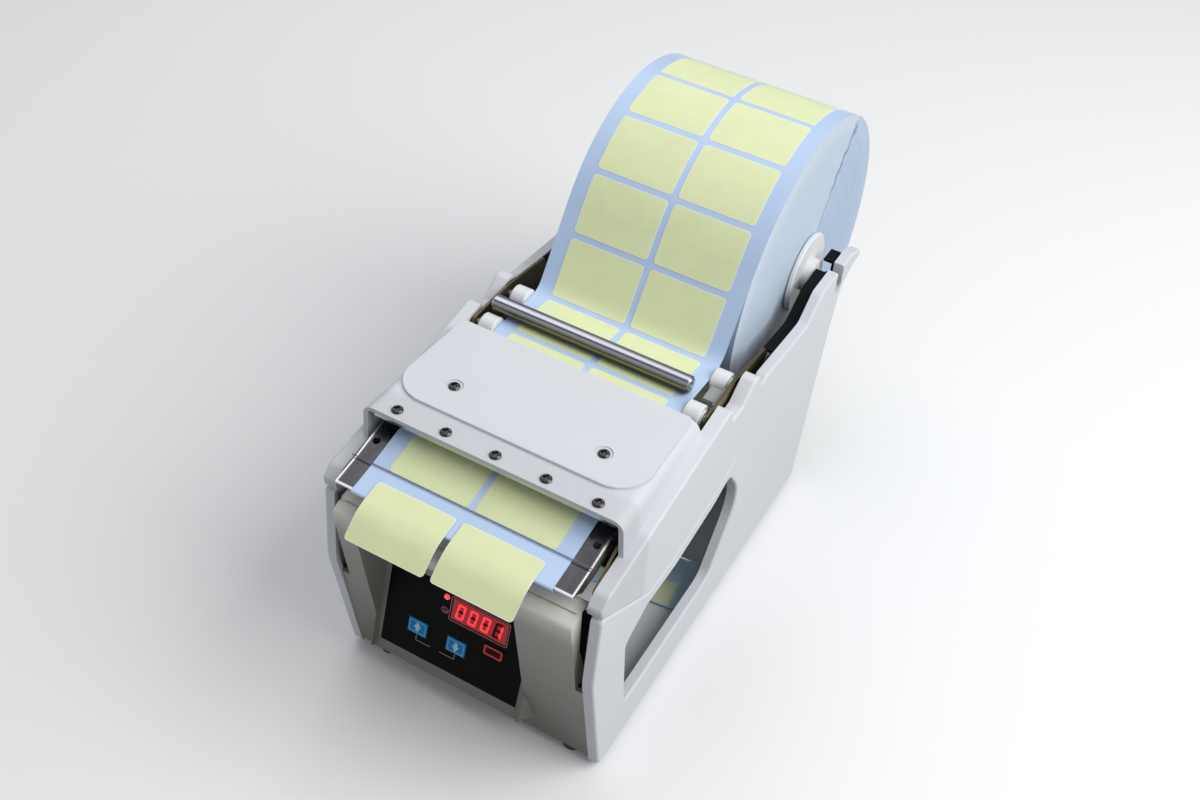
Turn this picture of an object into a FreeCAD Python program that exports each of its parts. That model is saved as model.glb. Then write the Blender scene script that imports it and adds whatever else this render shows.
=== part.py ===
import FreeCAD, Part
import math
import os

from FreeCAD import Placement, Rotation, Vector

# Electric label dispenser for rolls of die-cut labels, with a loaded roll.
# X is across (positive to the viewer's right), Y runs from front to back, Z is up.
# Inside this file Y is measured from the front bottom edge of the side panels
# and Z from their underside. save_all() moves every piece to the part's own frame,
# whose origin is the middle of the footprint on the surface that it stands on.

# Fits
FIT = 0.3
RUN = 0.05
SEAT = 0.1

# Casing
BODY_HALF = 77.5
RIM_DEPTH = 6.0
SKIN = 2.5
RIM_WALL = 2.5
EDGE_ROUND = 1.4
FOOT_HEIGHT = 3.0
FOOT_RADIUS = 6.0
FRONT_FOOT_Y = 8.0
REAR_FOOT_INSET = 8.0
RIM_X = BODY_HALF - RIM_DEPTH
SKIN_X = BODY_HALF - SKIN
FOOT_X = RIM_X - 13.5

# Side profile, as Y, Z and corner radius
FRONT_FOOT = (0.0, 0.0, 3.0)
FRONT_BEND = (-13.1, 84.7, 30.0)
PARTING_FRONT = (-8.5, 132.9, 2.5)
PARTING_LOW = (40.8, 99.4, 3.0)
WINDOW_FRONT_TOP = (19.4, 86.3, 5.0)
WINDOW_FRONT_LOW = (24.0, 26.5, 4.0)
WINDOW_SILL_REAR = (118.0, 26.5, 12.0)
WINDOW_BACK = (150.0, 70.0, 28.0)
RIDGE_FOOT = (133.4, 109.8, 4.0)
RIDGE_TOP = (155.8, 145.5, 2.0)
RAIL_START = (161.0, 148.5, 3.0)
DIP_START = (207.0, 143.0, 12.0)
DIP_END = (214.5, 142.5, 6.0)
EAR_SHOULDER = (230.0, 153.5, 6.0)
EAR_TOP_REAR = (274.0, 152.6, 8.0)
EAR_TIP = (288.0, 146.0, 2.0)
EAR_TIP_LOW = (284.0, 142.6, 3.0)
EAR_HEEL = (276.5, 142.6, 3.0)
WAIST = (263.5, 135.5, 4.0)
WAIST_LOW = (257.6, 115.0, 15.0)
BACK_MID = (250.8, 70.4, 60.0)
BACK_FOOT = (241.0, 0.0, 3.0)

# Hood profile, as Y, Z and corner radius
ARM_NOSE_LOW = (-8.5, 133.2, 1.0)
ARM_NOSE = (-9.6, 138.0, 3.0)
ARM_TOP_FRONT = (-3.0, 143.5, 5.0)
ARM_TOP_REAR = (118.5, 159.5, 2.5)
NOTCH_FRONT = (120.5, 150.2, 2.0)
NOTCH_REAR = (131.5, 149.4, 3.0)
HUMP_FRONT = (144.5, 157.8, 4.0)
HUMP_REAR = (150.0, 157.0, 3.0)
HOOD_TOP_MID_Y = (69.6, 98.3, 20.0)
HOOD_TOP_REAR_Y = (112.4, 103.8, 15.0)
ARM_DEPTH = 8.0

# Hood cover between the arms
COVER_FRONT_Y = 18.0
COVER_REAR_Y = 97.0
COVER_FRONT_Z = 168.5
COVER_REAR_Z = 164.5
COVER_HALF_FRONT = BODY_HALF - 6.5
COVER_HALF_REAR = BODY_HALF - 10.0
COVER_FOOT_HALF = BODY_HALF - 5.0
COVER_ROUND = 6.0
COVER_WALL = 2.4
PAD_FRONT_Y = 33.6
PAD_HALF_FRONT = COVER_HALF_FRONT - 2.5
PAD_HALF_REAR = COVER_HALF_REAR - 1.5
PAD_RISE = 1.6
PAD_CORNER = 18.0
FILM_SCREW_Y = 23.4
FILM_SCREW_PITCH = 27.5
FILM_SCREW_COUNT = 5
HOOD_SCREW_X = 41.7
HOOD_SCREW_Y = 51.8
SCREW_HEAD_RADIUS = 2.9
SCREW_HEAD_HEIGHT = 1.2
SCREW_SHANK_RADIUS = 1.5
DIMPLE_RADIUS = 4.6
DIMPLE_DEPTH = 0.8
SCREW_HOLE_REACH = 15.0

# Frame plates between the side panels
PLATE_GAP = 3.1
PLATE_THICK = 1.5
PLATE_OUTER = RIM_X - PLATE_GAP
PLATE_INNER = PLATE_OUTER - PLATE_THICK
PLATE_OUTLINE = (
    (2.0, 92.0, 5.0),
    (0.0, 138.0, 3.0),
    (22.0, 149.0, 8.0),
    (104.0, 151.5, 4.0),
    (108.0, 158.0, 4.0),
    (140.0, 157.0, 6.0),
    (181.0, 150.0, 6.0),
    (176.0, 124.0, 10.0),
    (148.0, 117.0, 10.0),
    (112.0, 110.0, 12.0),
    (60.0, 103.0, 12.0),
    (34.0, 97.0, 6.0),
)
SPACER_RADIUS = 4.0
SPACER_HOOD = ((8.0, 132.0), (100.0, 140.0))
SPACER_SIDE = ((156.0, 134.0), (168.0, 132.0))

# Bearer plates inside the ears
BEARER_THICK = 1.5
BEARER_INSET = 1.2
BEARER_LOW_Z = 98.0
BEARER_FRONT_Y = 175.0

# Bosses inside the side panels, as Y and Z
BEARER_BOSSES = ((184.0, 130.0), (236.0, 112.0), (270.0, 146.5))
FRONT_BOSSES = ((8.0, 12.0), (2.0, 66.0))

# Web guides
GUIDE_RADIUS = 3.0
FRONT_GUIDE = (111.8, 152.0)
REAR_GUIDE = (142.8, 149.0)
COLLAR_RADIUS = 7.0
COLLAR_WIDTH = 9.0
COLLAR_EDGE = 0.6
COLLAR_BOSS_RADIUS = 4.6
COLLAR_BOSS = 1.0
COLLAR_TRAVEL = 1.0
COLLAR_END_GAP = 0.6

# Web of label stock, as wide as the collars leave free
LINER_HALF = PLATE_INNER - COLLAR_END_GAP - COLLAR_TRAVEL - COLLAR_BOSS - COLLAR_WIDTH - FIT
LINER_THICK = 0.3
LABEL_WIDTH = 44.0
LABEL_GAP_X = 3.8
LABEL_OFFSET_X = -0.2
LABEL_LENGTH = 32.5
LABEL_PITCH = 36.0
LABEL_THICK = 0.2
LABEL_CORNER = 2.5
LABEL_LAY = 0.02
LABEL_CUTTER_REACH = 30.0
LABEL_TIP = (-34.5, 138.3)
DISPENSED_REAR_Y = -4.6
NEXT_LABEL_Y = 2.2

# Deck under the web, as Y and Z of its upper face
PEEL_EDGE = (-16.0, 148.0)
DECK_KNEE = (2.0, 150.5)
DECK_TOP = (22.7, 155.0)
DECK_REAR_Y = 104.0
DECK_HALF = PLATE_INNER - 1.9
DECK_THICK = 1.4
PEEL_SETBACK = 1.5
DECK_FLANGE = 8.0
DECK_HOLE_X = DECK_HALF - 4.0
DECK_HOLE_Y = 13.4
DECK_HOLE_RADIUS = 2.0

# Clear film that presses the labels on the deck
FILM_HALF = PLATE_INNER - 0.6
FILM_THICK = 0.5
FILM_FRONT_Y = 1.0
CLAMP_BAR_DEPTH = 11.0
CLAMP_BAR_HEIGHT = 3.0

# Weight rod that rests on the labels
ROD_RADIUS = 4.8
ROD_EDGE = 0.9
ROD_LEFT = 3.3 - PLATE_INNER
ROD_RIGHT = LINER_HALF - 3.0
ROD_Y = 122.5

# Label roll and its spindle
SPINDLE = (255.75, 141.5)
SPINDLE_RADIUS = 4.0
SPINDLE_HALF = BODY_HALF - 1.5
SPINDLE_EDGE = 0.8
SLEEVE_RADIUS = 12.3
CORE_THICK = 4.0
ROLL_RADIUS = 91.5
FLANGE_RADIUS = 24.0
FLANGE_THICK = 3.0
FLANGE_EDGE = 0.8
FLANGE_BOSS_RADIUS = 10.0
FLANGE_BOSS = 5.0
SPAN_CORNER_RADIUS = 12.0
SPAN_BEND_Y = 147.0

# Drive under the deck
DRIVE = (45.0, 115.0)
DRIVE_RADIUS = 11.0
DRIVE_CORE_RADIUS = 4.0
PINCH_RADIUS = 8.0
PINCH_SHAFT_RADIUS = 3.0
NIP_GAP = 0.9
WASTE_LEAVE_ANGLE = 38.6
WASTE_EASE = 3.0
ROLLER_HALF = LINER_HALF + 3.0
GEAR_MODULE = 0.8
PINION_TEETH = 14
IDLER_TEETH = 32
DRIVE_TEETH = 28
GEAR_WIDTH = 4.0
GEAR_X = 1.3 - PLATE_INNER
IDLER_ANGLE = 165.0
PINION_ANGLE = 240.0
AXLE_RADIUS = 2.0
MOTOR_RADIUS = 15.0
MOTOR_LENGTH = 46.0
MOTOR_NOSE = 5.0
MOTOR_EDGE = 1.0
MOTOR_POST_RADIUS = 2.2
MOTOR_POSTS = ((-9.0, -8.0), (13.0, -9.0))
BUSH_RADIUS = 7.0
BUSH_WIDTH = 3.5
PINCH_PIVOT = (76.0, 141.0)
PINCH_ARM_X = ROLLER_HALF + 1.6
PINCH_ARM_THICK = 1.5

# Front box
PANEL_WALL = 2.5
PANEL_HALF_LOW = RIM_X - FIT
PANEL_HALF_TOP = PANEL_HALF_LOW - 4.6
PANEL_STEP_Z = 72.0
PANEL_LOW = (-0.4, 3.0)
PANEL_NOSE_LOW = (-17.0, 123.5)
PANEL_NOSE = (-17.6, 128.0)
PANEL_LEDGE = (-8.2, 131.8)
LEDGE_RETURN = 8.0
PANEL_FOOT_DEPTH = 16.0
BOX_FLOOR_Z = 6.6
BOX_REAR_Y = 27.0
BOX_TOP_Z = 84.0
BOX_LIP = 8.0
BOX_WALL = 1.2
SENSOR_HALF = 3.2
SENSOR_FRONT_Y = -16.0
SENSOR_REAR_Y = -10.6
SENSOR_LOW_Z = 119.0
SENSOR_TOP_Z = 132.6

# Control panel, in its own plane: U runs up the plane from its low edge
CONSOLE_LEAN = 17.5
CONSOLE_ORIGIN = (-7.75, 26.4)
CONSOLE_RIM = 3.0
OVERLAY_LEFT = -52.0
OVERLAY_RIGHT = 31.5
OVERLAY_HIGH = 52.0
OVERLAY_THICK = 0.8
CONSOLE_BORDER = 3.2
CONSOLE_LOW_U = -5.5
CONSOLE_FOOT_Z = 13.0
CONSOLE_WALL = 2.0
DISPLAY_X = 2.5
DISPLAY_U = 40.0
DISPLAY_WIDTH = 33.0
DISPLAY_HEIGHT = 13.0
KEY_WIDTH = 11.5
KEY_HEIGHT = 9.0
UP_KEY_X = -31.4
DOWN_KEY_X = -7.8
KEY_U = 18.3
RESET_X = 13.4
RESET_U = 26.2
RESET_WIDTH = 11.8
RESET_HEIGHT = 6.7
KEY_PROUD = 0.5
KEY_TRAVEL = 0.4
LED_X = -17.8
LED_U = (45.3, 36.8)
LED_RADIUS = 1.6
LED_PROUD = 1.2
BOARD_THICK = 1.6

# Rear cross member
CROSS_DEPTH = 34.0
CROSS_REAR_Y = BACK_FOOT[0] - 3.0
CROSS_FRONT_Y = CROSS_REAR_Y - CROSS_DEPTH
CROSS_LOW_Z = 2.0
CROSS_HIGH_Z = 44.0
CROSS_WALL = 2.0
CROSS_BOSSES = ((CROSS_FRONT_Y + 8.0, CROSS_LOW_Z + 10.0), (CROSS_REAR_Y - 8.0, CROSS_HIGH_Z - 8.0))
REAR_FOOT_Y = CROSS_REAR_Y - REAR_FOOT_INSET
INLET_X = 38.0
INLET_RADIUS = 4.0
ROCKER_X = 52.0
BEZEL_RIM = 1.5
POWER_Z = 22.0
ROCKER_TILT = 8.0
ROCKER_HALF = 5.0
ROCKER_AXIS_DEPTH = 1.5
ROCKER_HUB_RADIUS = 3.9

pieces = {}


def loop(points, place):
    """Closed wire through cornered points (a, b, radius), each corner a tangent arc."""
    count = len(points)
    corners = []
    for index in range(count):
        before = points[index - 1]
        here = points[index]
        after = points[(index + 1) % count]
        corners.append(rounded_corner(before, here, after))
    edges = []
    for index in range(count):
        start, middle, end = corners[index]
        leave = corners[(index + 1) % count][0]
        if middle is not None:
            edges.append(Part.Arc(place(*start), place(*middle), place(*end)).toShape())
        if math.dist(end, leave) > 1e-6:
            edges.append(Part.makeLine(place(*end), place(*leave)))
    return Part.Wire(edges)


def rounded_corner(before, here, after):
    """Start, middle and end of the arc at one corner; no middle where it is sharp."""
    radius = here[2] if len(here) > 2 else 0.0
    if radius <= 0.0:
        return (here[:2], None, here[:2])
    to_before = unit(here, before)
    to_after = unit(here, after)
    cosine = to_before[0] * to_after[0] + to_before[1] * to_after[1]
    half = math.acos(max(-1.0, min(1.0, cosine))) / 2.0
    reach = radius / math.tan(half)
    start = (here[0] + to_before[0] * reach, here[1] + to_before[1] * reach)
    end = (here[0] + to_after[0] * reach, here[1] + to_after[1] * reach)
    inward = (to_before[0] + to_after[0], to_before[1] + to_after[1])
    size = math.hypot(*inward)
    depth = radius / math.sin(half) - radius
    middle = (here[0] + inward[0] / size * depth, here[1] + inward[1] / size * depth)
    return (start, middle, end)


def unit(start, end):
    """Unit direction from one plane point to another."""
    across = end[0] - start[0]
    along = end[1] - start[1]
    size = math.hypot(across, along)
    return (across / size, along / size)


def prism(points, x_from, x_to):
    """Solid between two X values whose outline is given as Y, Z and corner radius."""
    wire = loop(points, lambda y, z: Vector(x_from, y, z))
    return Part.Face(wire).extrude(Vector(x_to - x_from, 0, 0))


def plan_prism(points, z_from, z_to):
    """Solid between two heights whose outline is given as X, Y and corner radius."""
    wire = loop(points, lambda x, y: Vector(x, y, z_from))
    return Part.Face(wire).extrude(Vector(0, 0, z_to - z_from))


def box(x_from, x_to, y_from, y_to, z_from, z_to):
    """Axis-aligned block between two corners."""
    size = (x_to - x_from, y_to - y_from, z_to - z_from)
    return Part.makeBox(size[0], size[1], size[2], Vector(x_from, y_from, z_from))


def x_cylinder(centre, radius, x_from, x_to):
    """Cylinder along X about a Y, Z centre."""
    base = Vector(x_from, centre[0], centre[1])
    return Part.makeCylinder(radius, x_to - x_from, base, Vector(1, 0, 0))


def z_cylinder(x, y, radius, z_from, z_to):
    """Upright cylinder."""
    return Part.makeCylinder(radius, z_to - z_from, Vector(x, y, z_from))


def rims(shape, radius):
    """Circular edges of one radius."""
    rounds = [edge for edge in shape.Edges if hasattr(edge.Curve, "Radius")]
    return [edge for edge in rounds if abs(edge.Curve.Radius - radius) < 1e-6]


def join(shapes):
    """One solid from overlapping or touching solids."""
    first = shapes[0]
    return first.fuse(list(shapes[1:])).removeSplitter()


def strip_outline(path, thick):
    """Closed outline of a band of constant thickness about a cornered path."""
    left = offset_path(path, thick / 2.0)
    right = offset_path(path, -thick / 2.0)
    return left + right[::-1]


def offset_path(path, distance):
    """The path moved to its left by a distance, its corner radii following."""
    moved = []
    last = len(path) - 1
    for index, point in enumerate(path):
        into = unit(path[max(index - 1, 0)], path[max(index, 1)])
        out = unit(path[min(index, last - 1)], path[min(index + 1, last)])
        normal = (-into[1] - out[1], into[0] + out[0])
        size = math.hypot(*normal)
        normal = (normal[0] / size, normal[1] / size)
        mitre = distance / (normal[0] * -into[1] + normal[1] * into[0])
        radius = point[2] if len(point) > 2 else 0.0
        turn = into[0] * out[1] - into[1] * out[0]
        if radius > 0.0 and turn != 0.0:
            radius -= math.copysign(distance, turn * distance)
        moved.append((point[0] + normal[0] * mitre, point[1] + normal[1] * mitre, radius))
    return moved


def band(path, thick, half):
    """A band of constant thickness along a path, as wide as twice half."""
    return prism(strip_outline(path, thick), -half, half)


def on_console(shape):
    """Move a shape from the control panel's own plane to its place on the machine."""
    spin = Rotation(Vector(1, 0, 0), 90.0 - CONSOLE_LEAN)
    shape.Placement = Placement(Vector(0, CONSOLE_ORIGIN[0], CONSOLE_ORIGIN[1]), spin)
    return shape


def console_box(x_from, x_to, u_from, u_to, w_from, w_to):
    """Block in the control panel's plane: W stands out of its face."""
    return on_console(box(x_from, x_to, u_from, u_to, w_from, w_to))


def console_point(u, w):
    """Y and Z of a place on the control panel's plane."""
    lean = math.radians(CONSOLE_LEAN)
    y = CONSOLE_ORIGIN[0] + u * math.sin(lean) - w * math.cos(lean)
    z = CONSOLE_ORIGIN[1] + u * math.cos(lean) + w * math.sin(lean)
    return (y, z)


def mirrored(shape):
    """The same piece on the other side."""
    return shape.mirror(Vector(0, 0, 0), Vector(1, 0, 0))


def polar(centre, radius, degrees):
    """Point at a distance and angle from a centre."""
    turn = math.radians(degrees)
    return (centre[0] + radius * math.cos(turn), centre[1] + radius * math.sin(turn))


def angle_to(start, end):
    """Direction from one point to another, in degrees."""
    return math.degrees(math.atan2(end[1] - start[1], end[0] - start[0]))


def tangent_angle(point, centre, radius):
    """Angle on a circle where the line from an outside point touches its upper side."""
    reach = math.dist(point, centre)
    return angle_to(centre, point) - math.degrees(math.acos(radius / reach))


# Places that follow from the driving dimensions
half_liner = LINER_THICK / 2.0
web_z = FRONT_GUIDE[1] + GUIDE_RADIUS + half_liner + SEAT
rear_web_z = REAR_GUIDE[1] + GUIDE_RADIUS + half_liner + SEAT
idler_centre = polar(DRIVE, GEAR_MODULE * (DRIVE_TEETH + IDLER_TEETH) / 2.0, IDLER_ANGLE)
pinion_centre = polar(idler_centre, GEAR_MODULE * (PINION_TEETH + IDLER_TEETH) / 2.0, PINION_ANGLE)
wrap_radius = DRIVE_RADIUS + NIP_GAP / 2.0
nose_under = (PEEL_EDGE[0] + 1.4, PEEL_EDGE[1] - DECK_THICK - LINER_THICK - 0.2)
nip_angle = tangent_angle(nose_under, DRIVE, wrap_radius)
nip = polar(DRIVE, wrap_radius, nip_angle)
pinch_centre = polar(DRIVE, DRIVE_RADIUS + NIP_GAP + PINCH_RADIUS, nip_angle)
deck_path = (
    (PEEL_EDGE[0], PEEL_EDGE[1] + 0.0, 0.0),
    (DECK_KNEE[0], DECK_KNEE[1], 20.0),
    (DECK_TOP[0], DECK_TOP[1], 20.0),
    (DECK_REAR_Y, web_z - half_liner - SEAT, 0.0),
)


def deck_lift(y):
    """Height of the deck's upper face at one Y."""
    for start, end in zip(deck_path, deck_path[1:]):
        if y <= end[0]:
            share = (y - start[0]) / (end[0] - start[0])
            return start[1] + share * (end[1] - start[1])
    return deck_path[-1][1]


def panel_outline():
    """Side panel outline, clockwise from the front foot."""
    return (
        FRONT_FOOT,
        FRONT_BEND,
        PARTING_FRONT,
        PARTING_LOW,
        HOOD_TOP_MID_Y,
        HOOD_TOP_REAR_Y,
        RIDGE_FOOT,
        RIDGE_TOP,
        RAIL_START,
        DIP_START,
        DIP_END,
        EAR_SHOULDER,
        EAR_TOP_REAR,
        EAR_TIP,
        EAR_TIP_LOW,
        EAR_HEEL,
        WAIST,
        WAIST_LOW,
        BACK_MID,
        BACK_FOOT,
    )


def hood_outline():
    """Outline of one hood arm with its skirt; a parting gap stays to the side panel."""
    return (
        (PARTING_FRONT[0], PARTING_FRONT[1] + FIT, 1.0),
        ARM_NOSE,
        ARM_TOP_FRONT,
        ARM_TOP_REAR,
        NOTCH_FRONT,
        NOTCH_REAR,
        HUMP_FRONT,
        HUMP_REAR,
        (RIDGE_TOP[0] - FIT, RIDGE_TOP[1] + FIT, 1.5),
        (RIDGE_FOOT[0] - FIT, RIDGE_FOOT[1] + FIT, 4.0),
        (HOOD_TOP_REAR_Y[0], HOOD_TOP_REAR_Y[1] + FIT, 15.0),
        (HOOD_TOP_MID_Y[0], HOOD_TOP_MID_Y[1] + FIT, 20.0),
        (PARTING_LOW[0], PARTING_LOW[1] + FIT, 3.0),
    )


def window_outline():
    """Opening in the side panel through which the waste liner is taken out."""
    top = 8.5
    return (
        (PARTING_LOW[0] - 1.0, PARTING_LOW[1] - top, 4.0),
        (HOOD_TOP_MID_Y[0], HOOD_TOP_MID_Y[1] - top, 20.0),
        (HOOD_TOP_REAR_Y[0], HOOD_TOP_REAR_Y[1] - top, 15.0),
        (RIDGE_FOOT[0] - 4.0, RIDGE_FOOT[1] - top, 8.0),
        WINDOW_BACK,
        WINDOW_SILL_REAR,
        WINDOW_FRONT_LOW,
        (WINDOW_FRONT_TOP[0], WINDOW_FRONT_TOP[1] - top / 2.0, 5.0),
    )


def shelled_side(outline, depth, window=None):
    """A side moulding: outer skin, a rim all round and a rim round its window."""
    inner_x = BODY_HALF - depth
    solid = prism(outline, inner_x, BODY_HALF)
    if window is not None:
        solid = solid.cut(prism(window, inner_x, BODY_HALF))
    outer_edges = [edge for edge in solid.Edges if edge.BoundBox.XMin > BODY_HALF - 0.01]
    solid = solid.makeFillet(EDGE_ROUND, outer_edges)
    face = Part.Face(loop(outline, lambda y, z: Vector(inner_x, y, z)))
    pocket = face.makeOffset2D(-RIM_WALL).extrude(Vector(SKIN_X - inner_x, 0, 0))
    if window is not None:
        hole = Part.Face(loop(window, lambda y, z: Vector(inner_x, y, z)))
        keep = hole.makeOffset2D(RIM_WALL).extrude(Vector(SKIN_X - inner_x, 0, 0))
        pocket = pocket.cut(keep)
    return solid.cut(pocket)


def slot_cutter():
    """U-shaped slot in each ear that takes the spindle from above."""
    radius = SPINDLE_RADIUS + RUN
    top = EAR_SHOULDER[1] + 10.0
    x_from = PLATE_OUTER
    round_end = x_cylinder(SPINDLE, radius, x_from, BODY_HALF + 1.0)
    shaft = box(x_from, BODY_HALF + 1.0, SPINDLE[0] - radius, SPINDLE[0] + radius, SPINDLE[1], top)
    return join([round_end, shaft])


def slot_wall():
    """Thick wall round the slot, from the skin to the bearer plate."""
    radius = SPINDLE_RADIUS + RUN + RIM_WALL
    low = x_cylinder(SPINDLE, radius, RIM_X, SKIN_X + 0.5)
    top = EAR_SHOULDER[1] - RIM_WALL
    high = box(RIM_X, SKIN_X + 0.5, SPINDLE[0] - radius, SPINDLE[0] + radius, SPINDLE[1], top)
    return join([low, high])


def build_side_panels():
    """Left and right casings, each a rimmed moulding with a window and an ear."""
    panel = shelled_side(panel_outline(), RIM_DEPTH, window_outline())
    bosses = [slot_wall()]
    for centre in BEARER_BOSSES + CROSS_BOSSES + FRONT_BOSSES:
        bosses.append(x_cylinder(centre, SPACER_RADIUS, RIM_X, SKIN_X + 0.5))
    panel = join([panel] + bosses)
    panel = panel.cut(slot_cutter())
    for y, z in SPACER_SIDE:
        panel = panel.cut(x_cylinder((y, z), SPACER_RADIUS + SEAT, PLATE_OUTER, SKIN_X))
    pieces["right_side_panel"] = panel
    pieces["left_side_panel"] = mirrored(panel)


def bearer_outline():
    """Black plate on the inner side of each ear."""
    inset = BEARER_INSET
    return (
        (BEARER_FRONT_Y, RAIL_START[1] - inset - 1.5, 2.0),
        (DIP_START[0], DIP_START[1] - inset, 12.0),
        (DIP_END[0], DIP_END[1] - inset, 6.0),
        (EAR_SHOULDER[0] + 0.6, EAR_SHOULDER[1] - inset, 6.0),
        (EAR_TOP_REAR[0] - 0.4, EAR_TOP_REAR[1] - inset, 6.0),
        (EAR_HEEL[0] - 1.0, EAR_HEEL[1] + 1.0, 2.0),
        (WAIST[0] - inset, WAIST[1] + 0.6, 4.0),
        (WAIST_LOW[0] - inset, WAIST_LOW[1], 12.0),
        (WAIST_LOW[0] - 4.0, BEARER_LOW_Z, 5.0),
        (BEARER_FRONT_Y, BEARER_LOW_Z + 16.0, 12.0),
    )


def build_bearer_plates():
    """Plates that carry the spindle, one inside each ear."""
    plate = prism(bearer_outline(), RIM_X - BEARER_THICK, RIM_X)
    plate = plate.cut(slot_cutter())
    pieces["right_bearer_plate"] = plate
    pieces["left_bearer_plate"] = mirrored(plate)


def cover_section(y, half_top, top, inset, low):
    """Cross-section of the hood cover at one Y."""
    radius = COVER_ROUND if inset <= 0.0 else COVER_ROUND - COVER_WALL - 1.6
    points = (
        (-COVER_FOOT_HALF + inset, low),
        (-half_top + inset, top - inset, radius),
        (half_top - inset, top - inset, radius),
        (COVER_FOOT_HALF - inset, low),
    )
    return loop(points, lambda x, z: Vector(x, y, z))


def rail_z(y):
    """Height of the arm's rail at one Y."""
    share = (y - ARM_TOP_FRONT[0]) / (ARM_TOP_REAR[0] - ARM_TOP_FRONT[0])
    return ARM_TOP_FRONT[1] + share * (ARM_TOP_REAR[1] - ARM_TOP_FRONT[1])


def cover_z(y):
    """Height of the hood cover's top at one Y."""
    share = (y - COVER_FRONT_Y) / (COVER_REAR_Y - COVER_FRONT_Y)
    return COVER_FRONT_Z + share * (COVER_REAR_Z - COVER_FRONT_Z)


def cover_block(inset, overrun, drop):
    """Lofted form of the hood cover, moved in by inset and run on at both ends."""
    wires = []
    for y, half_top in ((COVER_FRONT_Y, COVER_HALF_FRONT), (COVER_REAR_Y, COVER_HALF_REAR)):
        reach = -overrun if y == COVER_FRONT_Y else overrun
        low = rail_z(y) - drop
        wires.append(cover_section(y + reach, half_top, cover_z(y), inset, low))
    return Part.makeLoft(wires, True, True)


def build_hood():
    """Hood: a lofted cover with a raised pad between two arms that carry the skirts."""
    cover = cover_block(0.0, 0.0, 2.0).cut(cover_block(COVER_WALL, 1.0, 6.0))
    pad_outline = (
        (-PAD_HALF_FRONT, PAD_FRONT_Y, PAD_CORNER),
        (PAD_HALF_FRONT, PAD_FRONT_Y, PAD_CORNER),
        (PAD_HALF_REAR, COVER_REAR_Y - 0.4, 3.0),
        (-PAD_HALF_REAR, COVER_REAR_Y - 0.4, 3.0),
    )
    pad = plan_prism(pad_outline, 0.0, COVER_WALL / 2.0 + PAD_RISE)
    lean = math.degrees(math.atan2(COVER_REAR_Z - COVER_FRONT_Z, COVER_REAR_Y - COVER_FRONT_Y))
    pad.rotate(Vector(0, PAD_FRONT_Y, 0), Vector(1, 0, 0), lean)
    pad.translate(Vector(0, 0, cover_z(PAD_FRONT_Y) - COVER_WALL / 2.0))
    arm = shelled_side(hood_outline(), ARM_DEPTH)
    for y, z in SPACER_HOOD:
        arm = arm.cut(x_cylinder((y, z), SPACER_RADIUS + SEAT, PLATE_OUTER, SKIN_X))
    hood = join([cover, pad, arm, mirrored(arm)])
    for x in film_screw_places():
        hood = hood.cut(screw_hole(x, FILM_SCREW_Y))
    for x in (-HOOD_SCREW_X, HOOD_SCREW_X):
        top = hood_screw_z()
        hood = hood.cut(z_cylinder(x, HOOD_SCREW_Y, DIMPLE_RADIUS, top, top + SCREW_HOLE_REACH))
        hood = hood.cut(screw_hole(x, HOOD_SCREW_Y))
    pieces["hood"] = hood


def screw_hole(x, y):
    """Clearance hole for a screw through the hood and what it clamps."""
    top = cover_z(y)
    return z_cylinder(x, y, SCREW_SHANK_RADIUS + SEAT, top - SCREW_HOLE_REACH, top + SCREW_HOLE_REACH)


def hood_screw_z():
    """Height of the floor of each hood screw's dimple."""
    return cover_z(HOOD_SCREW_Y) + PAD_RISE - DIMPLE_DEPTH


def film_screw_places():
    """X of each screw of the film clamp."""
    middle = (FILM_SCREW_COUNT - 1) / 2.0
    return [(index - middle) * FILM_SCREW_PITCH for index in range(FILM_SCREW_COUNT)]


def pan_head_screw(x, y, top_of_seat, length):
    """Pan-head screw standing on its seat, with a cross recess in its head."""
    head = z_cylinder(x, y, SCREW_HEAD_RADIUS, top_of_seat, top_of_seat + SCREW_HEAD_HEIGHT)
    top_rim = [edge for edge in rims(head, SCREW_HEAD_RADIUS) if edge.BoundBox.ZMin > top_of_seat]
    head = head.makeChamfer(SCREW_HEAD_HEIGHT * 0.5, top_rim)
    shank = z_cylinder(x, y, SCREW_SHANK_RADIUS, top_of_seat - length, top_of_seat)
    screw = join([head, shank])
    width = SCREW_HEAD_RADIUS * 0.25
    span = SCREW_HEAD_RADIUS * 0.6
    low = top_of_seat + SCREW_HEAD_HEIGHT * 0.35
    high = top_of_seat + SCREW_HEAD_HEIGHT + 1.0
    screw = screw.cut(box(x - span, x + span, y - width, y + width, low, high))
    return screw.cut(box(x - width, x + width, y - span, y + span, low, high))


def build_hood_fasteners():
    """Screws of the film clamp and of the hood."""
    seat = cover_z(FILM_SCREW_Y) + 0.15
    screws = [pan_head_screw(x, FILM_SCREW_Y, seat, 7.5) for x in film_screw_places()]
    pieces["film_screws"] = Part.makeCompound(screws)
    seat = hood_screw_z()
    screws = [pan_head_screw(x, HOOD_SCREW_Y, seat, 9.0) for x in (-HOOD_SCREW_X, HOOD_SCREW_X)]
    pieces["hood_screws"] = Part.makeCompound(screws)


def clamp_z(y):
    """Underside of the hood cover at one Y, where the film is clamped."""
    return cover_z(y) - COVER_WALL - SEAT


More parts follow.
